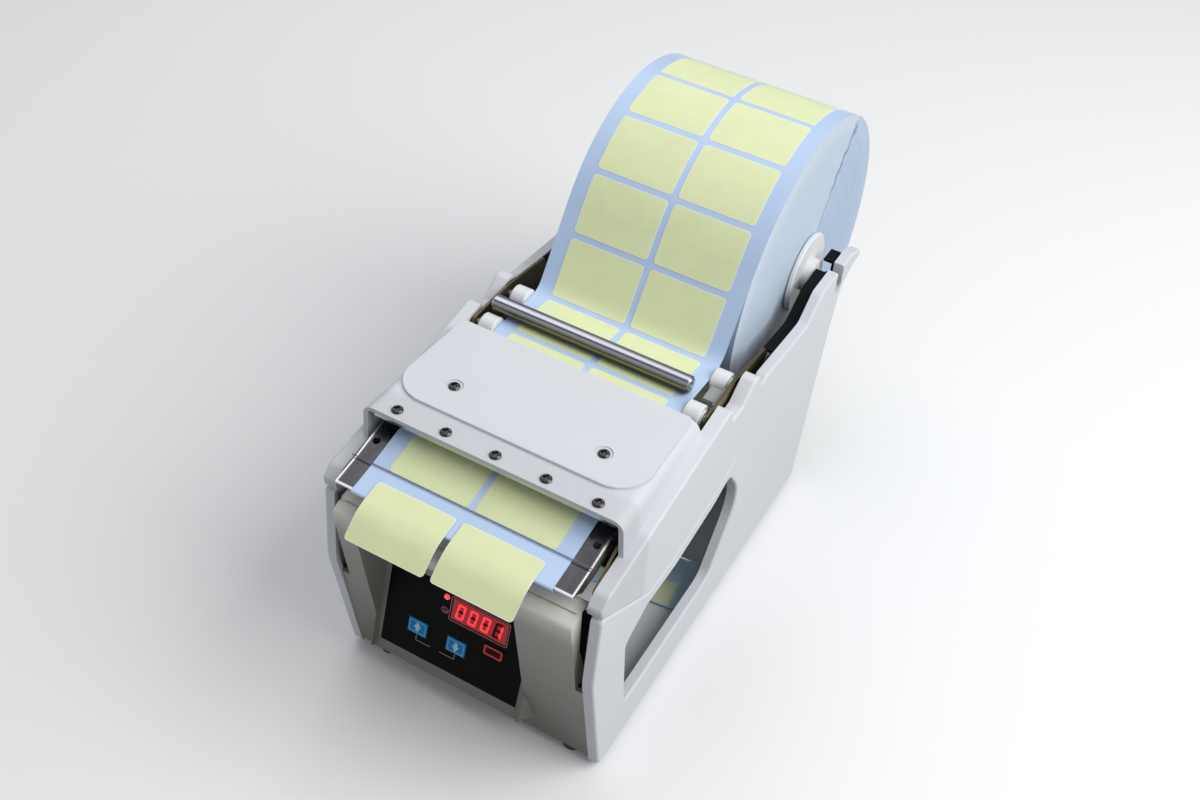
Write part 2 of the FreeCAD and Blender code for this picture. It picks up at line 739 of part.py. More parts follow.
def build_film():
    """Clear film that slopes down on to the labels, and the bar that clamps it."""
    rear = COVER_FRONT_Y + CLAMP_BAR_DEPTH
    half = FILM_THICK / 2.0
    front_z = deck_lift(FILM_FRONT_Y) + LINER_THICK + LABEL_THICK + SEAT * 3.0 + half
    path = (
        (FILM_FRONT_Y, front_z, 0.0),
        (COVER_FRONT_Y + 0.5, clamp_z(COVER_FRONT_Y) - half, 3.0),
        (rear, clamp_z(rear) - half, 0.0),
    )
    film = band(path, FILM_THICK, FILM_HALF)
    bar_top = clamp_z(rear) - FILM_THICK - SEAT
    bar = box(-FILM_HALF, FILM_HALF, COVER_FRONT_Y + 2.0, rear, bar_top - CLAMP_BAR_HEIGHT, bar_top - 0.5)
    for x in film_screw_places():
        cutter = screw_hole(x, FILM_SCREW_Y)
        film = film.cut(cutter)
        bar = bar.cut(cutter)
    pieces["clear_film"] = film
    pieces["film_clamp_bar"] = bar


def build_frame_plates():
    """Two inner plates that carry the guides, the deck and the drive."""
    plate = prism(PLATE_OUTLINE, PLATE_INNER, PLATE_OUTER)
    for centre in (FRONT_GUIDE, REAR_GUIDE):
        plate = plate.cut(x_cylinder(centre, GUIDE_RADIUS + SEAT, PLATE_INNER, PLATE_OUTER))
    plate = plate.cut(x_cylinder(DRIVE, BUSH_RADIUS - 2.0, PLATE_INNER, PLATE_OUTER))
    pivot = x_cylinder(PINCH_PIVOT, AXLE_RADIUS + SEAT, PLATE_INNER, PLATE_OUTER)
    plate = plate.cut(pivot)
    pieces["right_frame_plate"] = plate
    clip_x = GEAR_X + GEAR_WIDTH + 1.4
    axle = x_cylinder(idler_centre, AXLE_RADIUS, -PLATE_OUTER, clip_x + 0.6)
    clip = x_cylinder(idler_centre, AXLE_RADIUS + 1.4, clip_x, clip_x + 0.6)
    pieces["left_frame_plate"] = join([mirrored(plate), axle, clip])
    spacers = []
    for centre in SPACER_HOOD + SPACER_SIDE:
        spacer = x_cylinder(centre, SPACER_RADIUS, PLATE_OUTER, SKIN_X)
        spacers += [spacer, mirrored(spacer)]
    pieces["frame_spacers"] = Part.makeCompound(spacers)


def build_deck():
    """Polished deck with folded sides; the peel edge is its front."""
    half = DECK_THICK / 2.0
    front = (PEEL_EDGE[0] + PEEL_SETBACK, deck_lift(PEEL_EDGE[0] + PEEL_SETBACK), 0.0)
    plate = band(offset_path((front,) + deck_path[1:], -half), DECK_THICK, DECK_HALF)
    lower = offset_path(deck_path, -DECK_FLANGE)
    flange_front = 3.0
    rim = [(y, z, 0.0) for y, z, radius in deck_path]
    under = [(y, z, 0.0) for y, z, radius in lower]
    outline = [(rim[0][0] + flange_front, deck_lift(rim[0][0] + flange_front) - half, 0.0)]
    outline += [(y, z - half, 0.0) for y, z, radius in rim[1:]]
    outline += under[:0:-1]
    outline += [(under[0][0] + flange_front + 6.0, under[0][1] + 2.0, 0.0)]
    flange = prism(outline, DECK_HALF - DECK_THICK, DECK_HALF)
    deck = join([plate, flange, mirrored(flange)])
    for x in (-DECK_HOLE_X, DECK_HOLE_X):
        low = deck_lift(DECK_HOLE_Y) - 6.0
        deck = deck.cut(z_cylinder(x, DECK_HOLE_Y, DECK_HOLE_RADIUS, low, low + 12.0))
    pieces["deck_plate"] = deck


def build_guides():
    """Guide shafts, their collars, the bracket between two of them and the weight rod."""
    shaft_half = PLATE_OUTER
    for name, centre in (("front_guide_shaft", FRONT_GUIDE), ("rear_guide_shaft", REAR_GUIDE)):
        shaft = x_cylinder(centre, GUIDE_RADIUS, -shaft_half, shaft_half)
        pieces[name] = shaft
    inner = LINER_HALF + FIT
    for place, centre in (("front", FRONT_GUIDE), ("rear", REAR_GUIDE)):
        collar = x_cylinder(centre, COLLAR_RADIUS, inner, inner + COLLAR_WIDTH)
        collar = collar.makeChamfer(COLLAR_EDGE, rims(collar, COLLAR_RADIUS))
        outer = inner + COLLAR_WIDTH
        boss = x_cylinder(centre, COLLAR_BOSS_RADIUS, outer, outer + COLLAR_BOSS)
        collar = join([collar, boss])
        bore = x_cylinder(centre, GUIDE_RADIUS + RUN, inner - 1.0, outer + COLLAR_BOSS + 1.0)
        collar = collar.cut(bore)
        pieces[place + "_right_collar"] = collar
        pieces[place + "_left_collar"] = mirrored(collar)
    rod = x_cylinder((ROD_Y, rod_z()), ROD_RADIUS, ROD_LEFT, ROD_RIGHT)
    pieces["weight_rod"] = rod.makeChamfer(ROD_EDGE, rims(rod, ROD_RADIUS))


def web_line_z(y):
    """Height of the web's middle between the two guides."""
    share = (y - FRONT_GUIDE[0]) / (REAR_GUIDE[0] - FRONT_GUIDE[0])
    return web_z + share * (rear_web_z - web_z)


def rod_z():
    """Centre height of the weight rod, which rests on the labels."""
    slope = math.atan2(web_z - rear_web_z, REAR_GUIDE[0] - FRONT_GUIDE[0])
    over = half_liner + LABEL_THICK + FIT + ROD_RADIUS
    return web_line_z(ROD_Y) + over / math.cos(slope)


def build_web_guide_bracket():
    """Small grey bracket on the right frame plate between the two collars."""
    middle_y = (FRONT_GUIDE[0] + REAR_GUIDE[0]) / 2.0
    top = FRONT_GUIDE[1] + 3.0
    foot = box(PLATE_INNER - 2.0, PLATE_INNER, middle_y - 7.0, middle_y + 7.0, top - 14.0, top)
    tongue = box(PLATE_INNER - 8.0, PLATE_INNER, middle_y - 5.0, middle_y + 5.0, top - 2.0, top)
    pieces["web_guide_bracket"] = join([foot, tongue])


def liner_path():
    """Middle of the backing liner from the nip round the peel edge to the rear guide."""
    lift = half_liner + SEAT
    top = offset_path(deck_path, lift)
    return [
        (nip[0], nip[1], 0.0),
        (nose_under[0], nose_under[1], 0.9),
        (PEEL_EDGE[0] - lift - 0.35, PEEL_EDGE[1] - 0.2, 0.9),
        (top[0][0] + 1.2, top[0][1] + 0.14, 0.6),
        (top[1][0], top[1][1], 20.0),
        (top[2][0], top[2][1], 20.0),
        (FRONT_GUIDE[0], web_z, 20.0),
        (REAR_GUIDE[0], rear_web_z, 0.0),
    ]


def roll_tangent():
    """Point where the web meets the roll, seen from the bend behind the rear guide."""
    bend = (SPAN_BEND_Y, span_bend_z())
    radius = ROLL_RADIUS + half_liner
    reach = math.dist(bend, SPINDLE)
    turn = angle_to(SPINDLE, bend) - math.degrees(math.acos(radius / reach))
    return polar(SPINDLE, radius, turn)


def span_bend_z():
    """Height of the web's bend, on the line over both guides run on."""
    return web_line_z(SPAN_BEND_Y)


def span_path():
    """Middle of the web from the rear guide up to the roll."""
    end = roll_tangent()
    return [
        (REAR_GUIDE[0] + SEAT, web_line_z(REAR_GUIDE[0] + SEAT), 0.0),
        (SPAN_BEND_Y + 4.0, web_line_z(SPAN_BEND_Y + 4.0), SPAN_CORNER_RADIUS),
        (end[0] - 0.4, end[1] - 0.4, 0.0),
    ]


def build_liner():
    """Backing liner, the slack span to the roll and the waste that leaves the nip."""
    pieces["backing_liner"] = band(liner_path(), LINER_THICK, LINER_HALF)
    pieces["web_span"] = band(span_path(), LINER_THICK, LINER_HALF)
    corner_reach = wrap_radius * math.tan(math.radians((nip_angle - WASTE_LEAVE_ANGLE) / 2.0))
    along = (math.sin(math.radians(nip_angle)), -math.cos(math.radians(nip_angle)))
    corner = (nip[0] + along[0] * corner_reach, nip[1] + along[1] * corner_reach, wrap_radius - WASTE_EASE)
    waste = [
        (nip[0], nip[1], 0.0),
        corner,
        (112.0, 42.0 + 0.6, 60.0),
        (146.0, 1.2, 11.0),
        (109.0, -FOOT_HEIGHT + 0.8, 0.0),
    ]
    pieces["waste_liner"] = band(waste, LINER_THICK, LINER_HALF)


def label_plate(x_from, y_from, y_to):
    """Flat label outline, later laid on the web."""
    outline = (
        (x_from, y_from, LABEL_CORNER),
        (x_from + LABEL_WIDTH, y_from, LABEL_CORNER),
        (x_from + LABEL_WIDTH, y_to, LABEL_CORNER),
        (x_from, y_to, LABEL_CORNER),
    )
    return plan_prism(outline, PEEL_EDGE[1] - LABEL_CUTTER_REACH, PEEL_EDGE[1] + LABEL_CUTTER_REACH)


def label_columns():
    """Left edge of each column of labels."""
    left = LABEL_OFFSET_X - LABEL_GAP_X / 2.0 - LABEL_WIDTH
    return (left, left + LABEL_WIDTH + LABEL_GAP_X)


def build_labels():
    """Labels that still lie on the deck, and the pair that stands off the peel edge."""
    rise = half_liner + LABEL_LAY + LABEL_THICK / 2.0
    top = offset_path(liner_path()[3:], rise)
    layer = band(top, LABEL_THICK, LINER_HALF)
    labels = []
    rows = math.floor((REAR_GUIDE[0] - LABEL_LENGTH - NEXT_LABEL_Y) / LABEL_PITCH) + 1
    for x in label_columns():
        for row in range(rows):
            start = NEXT_LABEL_Y + row * LABEL_PITCH
            labels.append(label_plate(x, start, start + LABEL_LENGTH).common(layer))
    pieces["deck_labels"] = Part.makeCompound(labels)
    start = top[1]
    edge = top[0]
    rear_z = edge[1] + (DISPENSED_REAR_Y - edge[0]) / (start[0] - edge[0]) * (start[1] - edge[1])
    path = [
        (LABEL_TIP[0], LABEL_TIP[1], 0.0),
        (edge[0] - 6.0, edge[1] - 0.3, 22.0),
        (DISPENSED_REAR_Y, rear_z, 0.0),
    ]
    sheet = band(path, LABEL_THICK, LINER_HALF)
    pair = []
    for x in label_columns():
        pair.append(label_plate(x, LABEL_TIP[0] - 0.05, DISPENSED_REAR_Y).common(sheet))
    pieces["dispensed_labels"] = Part.makeCompound(pair)


def spoked_ring(outer, inner, x_from, x_to):
    """Ring along X about the spindle."""
    ring = x_cylinder(SPINDLE, outer, x_from, x_to)
    return ring.cut(x_cylinder(SPINDLE, inner, x_from - 1.0, x_to + 1.0))


def build_roll():
    """Spindle, its sleeve with two flanges, the roll's core and the wound labels."""
    spindle = x_cylinder(SPINDLE, SPINDLE_RADIUS, -SPINDLE_HALF, SPINDLE_HALF)
    pieces["spindle_shaft"] = spindle.makeChamfer(SPINDLE_EDGE, rims(spindle, SPINDLE_RADIUS))
    flange_inner = LINER_HALF + FIT
    sleeve = spoked_ring(SLEEVE_RADIUS, SPINDLE_RADIUS + RUN, -flange_inner, flange_inner)
    pieces["spindle_sleeve"] = sleeve
    flange = spoked_ring(FLANGE_RADIUS, SPINDLE_RADIUS + RUN, flange_inner, flange_inner + FLANGE_THICK)
    flange = flange.makeChamfer(FLANGE_EDGE, rims(flange, FLANGE_RADIUS))
    boss = spoked_ring(FLANGE_BOSS_RADIUS, SPINDLE_RADIUS + RUN, flange_inner + FLANGE_THICK - 0.2,
                       flange_inner + FLANGE_THICK + FLANGE_BOSS)
    flange = join([flange, boss])
    pieces["right_flange"] = flange
    pieces["left_flange"] = mirrored(flange)
    core_inner = SLEEVE_RADIUS + SEAT
    pieces["roll_core"] = spoked_ring(core_inner + CORE_THICK, core_inner, -LINER_HALF, LINER_HALF)
    wound_inner = core_inner + CORE_THICK
    pieces["label_roll"] = spoked_ring(ROLL_RADIUS - FIT, wound_inner, -LINER_HALF, LINER_HALF)


def panel_face_y(z):
    """Y of the front panel's outer face at one height."""
    share = (z - PANEL_LOW[1]) / (PANEL_NOSE_LOW[1] - PANEL_LOW[1])
    return PANEL_LOW[0] + share * (PANEL_NOSE_LOW[0] - PANEL_LOW[0])


def panel_shell_path(inset):
    """Middle of the front panel's wall, from its foot up the face and over the ledge."""
    return offset_path((
        (PANEL_LEDGE[0], PANEL_LEDGE[1] - LEDGE_RETURN, 0.0),
        (PANEL_LEDGE[0], PANEL_LEDGE[1], 2.0 + inset),
        (PANEL_NOSE[0], PANEL_NOSE[1], 2.0 + inset),
        (PANEL_NOSE_LOW[0], PANEL_NOSE_LOW[1], 6.0),
        (PANEL_LOW[0], PANEL_LOW[1], 2.0 + inset),
        (PANEL_LOW[0] + PANEL_FOOT_DEPTH, PANEL_LOW[1], 0.0),
    ), inset)


def console_block(x_from, x_to):
    """Solid under the control panel's rim plane, down to the box's floor."""
    high = console_point(OVERLAY_HIGH + CONSOLE_BORDER, CONSOLE_RIM)
    low = console_point(CONSOLE_LOW_U, CONSOLE_RIM)
    back_high = console_point(OVERLAY_HIGH + CONSOLE_BORDER, -CONSOLE_WALL - OVERLAY_THICK)
    back_low = console_point(CONSOLE_LOW_U, -CONSOLE_WALL - OVERLAY_THICK)
    outline = (
        (high[0], high[1], 0.0),
        (low[0], low[1], 1.5),
        (panel_face_y(CONSOLE_FOOT_Z) + 0.5, CONSOLE_FOOT_Z, 0.0),
        (panel_face_y(CONSOLE_FOOT_Z) + CONSOLE_WALL + 2.0, CONSOLE_FOOT_Z, 0.0),
        (back_low[0], back_low[1], 0.0),
        (back_high[0], back_high[1], 0.0),
    )
    return prism(outline, x_from, x_to)


def recess_outline(margin):
    """Wedge in front of the control panel, from where it crosses the face to the nose."""
    top = console_point(OVERLAY_HIGH + CONSOLE_BORDER + margin, 0.0 - margin)
    low = console_point(-20.0, 0.0 - margin)
    brow_z = PANEL_NOSE_LOW[1] - 4.0 + margin
    brow_y = panel_face_y(brow_z)
    return (
        (top[0], top[1], 0.0),
        (brow_y, brow_z, 0.0),
        (brow_y - 30.0, brow_z, 0.0),
        (brow_y - 30.0, low[1], 0.0),
        (low[0], low[1], 0.0),
    )


def cheek(x_edge, x_outer):
    """Sloped side of the raised console, from its rim down to the panel's face."""
    rim_low = console_point(CONSOLE_LOW_U, CONSOLE_RIM)
    cross = console_point(15.0, CONSOLE_RIM)
    foot_y = panel_face_y(CONSOLE_FOOT_Z)
    corners = [
        Vector(x_edge, cross[0] + 0.8, cross[1]),
        Vector(x_edge, rim_low[0] + 0.6, rim_low[1] + 0.4),
        Vector(x_edge, foot_y + 0.8, CONSOLE_FOOT_Z),
        Vector(x_outer, panel_face_y(CONSOLE_FOOT_Z + 5.0) + 0.8, CONSOLE_FOOT_Z + 5.0),
    ]
    faces = []
    for trio in ((0, 1, 2), (0, 1, 3), (1, 2, 3), (0, 2, 3)):
        ring = [corners[index] for index in trio]
        faces.append(Part.Face(Part.makePolygon(ring + ring[:1])))
    return Part.Solid(Part.Shell(faces))


def build_front_panel():
    """Front panel: leaning shell with a ledge, a stepped width and a sunk control panel."""
    middle = panel_shell_path(PANEL_WALL / 2.0)
    shell = band(middle, PANEL_WALL, PANEL_HALF_LOW)
    trim = box(PANEL_HALF_TOP, PANEL_HALF_LOW + 1.0, PANEL_NOSE[0] - 1.0, PANEL_FOOT_DEPTH,
               PANEL_STEP_Z, PANEL_LEDGE[1] + 1.0)
    shell = shell.cut([trim, mirrored(trim)])
    left = OVERLAY_LEFT - CONSOLE_BORDER
    right = OVERLAY_RIGHT + CONSOLE_BORDER
    recess = prism(recess_outline(0.0), left, right)
    outer = prism(recess_outline(CONSOLE_WALL), left - CONSOLE_WALL, right + CONSOLE_WALL)
    rear = console_point(OVERLAY_HIGH + CONSOLE_BORDER, 0.0)[0] + PANEL_FOOT_DEPTH
    inside = prism((
        (PANEL_LOW[0] + 0.5, PANEL_LOW[1] + 0.5, 0.0),
        (PANEL_NOSE_LOW[0] + 0.5, PANEL_NOSE_LOW[1], 0.0),
        (rear, PANEL_NOSE_LOW[1], 0.0),
        (rear, PANEL_LOW[1] + 0.5, 0.0),
    ), -PANEL_HALF_TOP, PANEL_HALF_TOP)
    pocket = outer.common(inside)
    end_wall = prism((
        (panel_face_y(PANEL_STEP_Z) + 1.0, PANEL_STEP_Z, 0.0),
        (PANEL_NOSE_LOW[0] + 1.0, PANEL_NOSE_LOW[1], 0.0),
        (PANEL_NOSE[0] + 1.2, PANEL_NOSE[1] - 0.6, 0.0),
        (PANEL_LEDGE[0], PANEL_LEDGE[1] - 1.2, 0.0),
        (PANEL_LEDGE[0], PANEL_STEP_Z + 30.0, 6.0),
        (0.0, PANEL_STEP_Z, 0.0),
    ), PANEL_HALF_TOP - PANEL_WALL, PANEL_HALF_TOP)
    body = join([shell, pocket, console_block(left - 0.5, right + 0.5), end_wall, mirrored(end_wall)])
    body = body.cut(recess)
    body = join([body, cheek(right, right + 6.5), cheek(left, left - 4.0)])
    seat = console_box(OVERLAY_LEFT - SEAT, OVERLAY_RIGHT + SEAT, -SEAT, OVERLAY_HIGH + SEAT,
                       -OVERLAY_THICK, CONSOLE_RIM + 20.0)
    body = body.cut(seat)
    sensor_slot = box(-SENSOR_HALF - SEAT, SENSOR_HALF + SEAT, SENSOR_FRONT_Y - 2.0 * SEAT,
                      SENSOR_REAR_Y + 2.0 * SEAT, SENSOR_LOW_Z - 1.0, PANEL_LEDGE[1] + PANEL_FOOT_DEPTH)
    body = body.cut(sensor_slot)
    for x, u, width, height in console_windows():
        cutter = console_box(x - width / 2.0, x + width / 2.0, u - height / 2.0, u + height / 2.0, -20.0, 1.0)
        body = body.cut(cutter)
    pieces["front_panel"] = body


def console_windows():
    """Openings behind the control panel: display, keys and indicator lamps."""
    windows = [
        (DISPLAY_X, DISPLAY_U, DISPLAY_WIDTH + 2 * SEAT, DISPLAY_HEIGHT + 2 * SEAT),
        (UP_KEY_X, KEY_U, KEY_WIDTH + 2 * SEAT, KEY_HEIGHT + 2 * SEAT),
        (DOWN_KEY_X, KEY_U, KEY_WIDTH + 2 * SEAT, KEY_HEIGHT + 2 * SEAT),
        (RESET_X, RESET_U, RESET_WIDTH + 2 * SEAT, RESET_HEIGHT + 2 * SEAT),
    ]
    for u in LED_U:
        windows.append((LED_X, u, 2 * (LED_RADIUS + SEAT), 2 * (LED_RADIUS + SEAT)))
    return windows


def build_controls():
    """Membrane overlay, keys, display, lamps, and the board behind them."""
    overlay = console_box(OVERLAY_LEFT, OVERLAY_RIGHT, 0.0, OVERLAY_HIGH, -OVERLAY_THICK, 0.0)
    windows = console_windows()
    for x, u, width, height in windows[:4]:
        cutter = console_box(x - width / 2.0, x + width / 2.0, u - height / 2.0, u + height / 2.0, -5.0, 5.0)
        overlay = overlay.cut(cutter)
    for u in LED_U:
        cutter = on_console(Part.makeCylinder(LED_RADIUS + SEAT, 10.0, Vector(LED_X, u, -5.0)))
        overlay = overlay.cut(cutter)
    pieces["control_overlay"] = overlay
    keys = (
        ("up_key", UP_KEY_X, KEY_U, KEY_WIDTH, KEY_HEIGHT),
        ("down_key", DOWN_KEY_X, KEY_U, KEY_WIDTH, KEY_HEIGHT),
        ("reset_key", RESET_X, RESET_U, RESET_WIDTH, RESET_HEIGHT),
    )
    for name, x, u, width, height in keys:
        key = box(x - width / 2.0, x + width / 2.0, u - height / 2.0, u + height / 2.0,
                  -OVERLAY_THICK - 1.0, KEY_PROUD)
        key = key.makeFillet(0.4, [edge for edge in key.Edges if edge.BoundBox.ZMin > KEY_PROUD - 0.01])
        pieces[name] = on_console(key)
    board_top = -OVERLAY_THICK - CONSOLE_WALL - 1.2
    pieces["control_board"] = console_box(OVERLAY_LEFT + 6.0, OVERLAY_RIGHT - 6.0, 8.0, OVERLAY_HIGH - 3.0,
                                          board_top - BOARD_THICK, board_top)
    pieces["display_module"] = console_box(
        DISPLAY_X - DISPLAY_WIDTH / 2.0, DISPLAY_X + DISPLAY_WIDTH / 2.0,
        DISPLAY_U - DISPLAY_HEIGHT / 2.0, DISPLAY_U + DISPLAY_HEIGHT / 2.0, board_top, -0.2)
    lamps = []
    for u in LED_U:
        lamp = Part.makeCylinder(LED_RADIUS, LED_PROUD - board_top, Vector(LED_X, u, board_top))
        tip = [edge for edge in rims(lamp, LED_RADIUS) if edge.BoundBox.ZMin > 0.0]
        lamps.append(on_console(lamp.makeChamfer(LED_PROUD * 0.6, tip)))
    pieces["status_leds"] = Part.makeCompound(lamps)
    pieces["label_sensor"] = box(-SENSOR_HALF, SENSOR_HALF, SENSOR_FRONT_Y, SENSOR_REAR_Y,
                                 SENSOR_LOW_Z, SENSOR_TOP_Z)


def tooth_outline(centre, teeth, phase):
    """Points of a spur gear outline with trapezoid teeth and play at the flanks."""
    pitch_radius = GEAR_MODULE * teeth / 2.0
    tip = pitch_radius + 0.92 * GEAR_MODULE
    root = pitch_radius - 1.2 * GEAR_MODULE
    step = 360.0 / teeth
    points = []
    for index in range(teeth):
        middle = phase + index * step
        for share, radius in ((-0.29, root), (-0.105, tip), (0.105, tip), (0.29, root)):
            points.append(polar(centre, radius, middle + share * step))
    return [(y, z, 0.0) for y, z in points]


def gear(centre, teeth, phase, bore, hub_radius):
    """Spur gear along X with a hub on its inner side."""
    wheel = prism(tooth_outline(centre, teeth, phase), GEAR_X, GEAR_X + GEAR_WIDTH)
    hub = x_cylinder(centre, hub_radius, GEAR_X + GEAR_WIDTH - 0.2, GEAR_X + GEAR_WIDTH + 1.2)
    wheel = join([wheel, hub])
    return wheel.cut(x_cylinder(centre, bore, GEAR_X - 1.0, GEAR_X + GEAR_WIDTH + 2.0))


def build_drive():
    """Gear motor, three gears, the drive roller and the sprung pinch roller."""
    pitch_idler = 360.0 / IDLER_TEETH
    to_idler = angle_to(DRIVE, idler_centre)
    idler_phase = to_idler + 180.0 + pitch_idler / 2.0
    to_pinion = angle_to(idler_centre, pinion_centre)
    offset = (to_pinion - idler_phase) % pitch_idler
    pinion_phase = to_pinion + 180.0 + offset * IDLER_TEETH / PINION_TEETH + 180.0 / PINION_TEETH
    pieces["drive_gear"] = gear(DRIVE, DRIVE_TEETH, to_idler, DRIVE_CORE_RADIUS + SEAT, 7.0)
    pieces["idler_gear"] = gear(idler_centre, IDLER_TEETH, idler_phase, AXLE_RADIUS + RUN, 4.5)
    pieces["motor_pinion"] = gear(pinion_centre, PINION_TEETH, pinion_phase, AXLE_RADIUS + SEAT, 3.6)
    shaft_half = PLATE_OUTER + 2.0
    pieces["drive_shaft"] = x_cylinder(DRIVE, DRIVE_CORE_RADIUS, -shaft_half, shaft_half)
    roller = x_cylinder(DRIVE, DRIVE_RADIUS, -ROLLER_HALF, ROLLER_HALF)
    pieces["drive_roller"] = roller.cut(x_cylinder(DRIVE, DRIVE_CORE_RADIUS, -ROLLER_HALF, ROLLER_HALF))
    bushes = []
    for side in (1.0, -1.0):
        flange = x_cylinder(DRIVE, BUSH_RADIUS, PLATE_OUTER, PLATE_OUTER + 1.0)
        barrel = x_cylinder(DRIVE, BUSH_RADIUS - 2.0, PLATE_INNER, PLATE_OUTER + 1.0)
        bush = join([flange, barrel])
        bush = bush.cut(x_cylinder(DRIVE, DRIVE_CORE_RADIUS + RUN, PLATE_INNER - 1.0, PLATE_OUTER + 2.0))
        bushes.append(bush if side > 0 else mirrored(bush))
    pieces["shaft_bushes"] = Part.makeCompound(bushes)
    build_motor()
    build_pinch()


def build_motor():
    """Gear motor held beside the left frame plate by a plate on three posts."""
    face_x = GEAR_X + GEAR_WIDTH + 2.4
    can = x_cylinder(pinion_centre, MOTOR_RADIUS, face_x + PLATE_THICK, face_x + PLATE_THICK + MOTOR_LENGTH)
    rear_rim = [edge for edge in rims(can, MOTOR_RADIUS) if edge.BoundBox.XMin > face_x + PLATE_THICK]
    can = can.makeChamfer(MOTOR_EDGE, rear_rim[-1:])
    shaft = x_cylinder(pinion_centre, AXLE_RADIUS, GEAR_X - 0.4, face_x + PLATE_THICK)
    rear = face_x + PLATE_THICK + MOTOR_LENGTH
    boss = x_cylinder(pinion_centre, 4.0, rear, rear + MOTOR_NOSE)
    pieces["gear_motor"] = join([can, boss])
    pieces["motor_shaft"] = shaft
    plate_outline = (
        (pinion_centre[0] - 16.0, pinion_centre[1] - 12.0, 3.0),
        (pinion_centre[0] - 16.0, pinion_centre[1] + 14.0, 3.0),
        (pinion_centre[0] + 16.0, pinion_centre[1] + 14.0, 3.0),
        (pinion_centre[0] + 16.0, pinion_centre[1] - 12.0, 3.0),
    )
    plate = prism(plate_outline, face_x, face_x + PLATE_THICK)
    plate = plate.cut(x_cylinder(pinion_centre, AXLE_RADIUS + 1.2, face_x, face_x + PLATE_THICK))
    posts = [plate]
    for y, z in MOTOR_POSTS:
        post = (pinion_centre[0] + y, pinion_centre[1] + z)
        posts.append(x_cylinder(post, MOTOR_POST_RADIUS, -PLATE_INNER, face_x + 0.2))
    plate = join(posts)
    pieces["motor_bracket"] = plate.cut(x_cylinder(idler_centre, AXLE_RADIUS + 1.8, face_x - 2, face_x + 5))


def build_pinch():
    """Pinch roller on a sprung bracket that swings about a rod behind it."""
    shaft_half = PINCH_ARM_X + PINCH_ARM_THICK
    pieces["pinch_shaft"] = x_cylinder(pinch_centre, PINCH_SHAFT_RADIUS, -shaft_half, shaft_half)
    roller = x_cylinder(pinch_centre, PINCH_RADIUS, -ROLLER_HALF, ROLLER_HALF)
    bore = x_cylinder(pinch_centre, PINCH_SHAFT_RADIUS + RUN, -ROLLER_HALF, ROLLER_HALF)
    pieces["pinch_roller"] = roller.cut(bore)
    pieces["pinch_pivot_rod"] = x_cylinder(PINCH_PIVOT, AXLE_RADIUS, -PLATE_OUTER, PLATE_OUTER)
    arm_path = [
        (pinch_centre[0], pinch_centre[1]),
        (PINCH_PIVOT[0], PINCH_PIVOT[1]),
    ]
    direction = unit(arm_path[0], arm_path[1])
    side = (-direction[1], direction[0])
    wide = 5.0
    outline = []
    for centre, sign in ((arm_path[0], 1.0), (arm_path[1], 1.0), (arm_path[1], -1.0), (arm_path[0], -1.0)):
        away = -wide if centre is arm_path[0] else wide
        outline.append((centre[0] + direction[0] * away + side[0] * wide * sign,
                        centre[1] + direction[1] * away + side[1] * wide * sign, 4.0))
    arm = prism(outline, PINCH_ARM_X, PINCH_ARM_X + PINCH_ARM_THICK)
    tie = x_cylinder(((arm_path[0][0] * 0.4 + arm_path[1][0] * 0.6) + side[0] * 2.0,
                      (arm_path[0][1] * 0.4 + arm_path[1][1] * 0.6) + side[1] * 2.0),
                     2.0, -PINCH_ARM_X, PINCH_ARM_X)
    bracket = join([arm, mirrored(arm), tie])
    reach = PINCH_ARM_X + PINCH_ARM_THICK + 1.0
    bracket = bracket.cut(x_cylinder(PINCH_PIVOT, AXLE_RADIUS + RUN, -reach, reach))
    bracket = bracket.cut(x_cylinder(pinch_centre, PINCH_SHAFT_RADIUS + SEAT / 2.0, -reach, reach))
    pieces["pinch_bracket"] = bracket


def build_front_box():
    """Cover behind the front panel that closes the space with the boards."""
    path = (
        (PANEL_LOW[0] + PANEL_FOOT_DEPTH + 0.4, BOX_FLOOR_Z, 0.0),
        (BOX_REAR_Y, BOX_FLOOR_Z, 3.0),
        (BOX_REAR_Y, BOX_TOP_Z, 3.0),
        (BOX_REAR_Y - BOX_LIP, BOX_TOP_Z, 0.0),
    )
    pieces["drive_box_cover"] = band(path, BOX_WALL, PANEL_HALF_TOP)


def y_cylinder(radius, y_from, y_to):
    """Cylinder about the power inlet, from and to distances behind the cross member."""
    base = Vector(INLET_X, CROSS_REAR_Y + y_from, POWER_Z)
    return Part.makeCylinder(radius, y_to - y_from, base, Vector(0, 1, 0))


def rocker_block(half_x, half_z, y_from, y_to):
    """Block about the middle of the rocker switch, from and to distances behind the cross member."""
    return box(ROCKER_X - half_x, ROCKER_X + half_x, CROSS_REAR_Y + y_from, CROSS_REAR_Y + y_to,
               POWER_Z - half_z, POWER_Z + half_z)


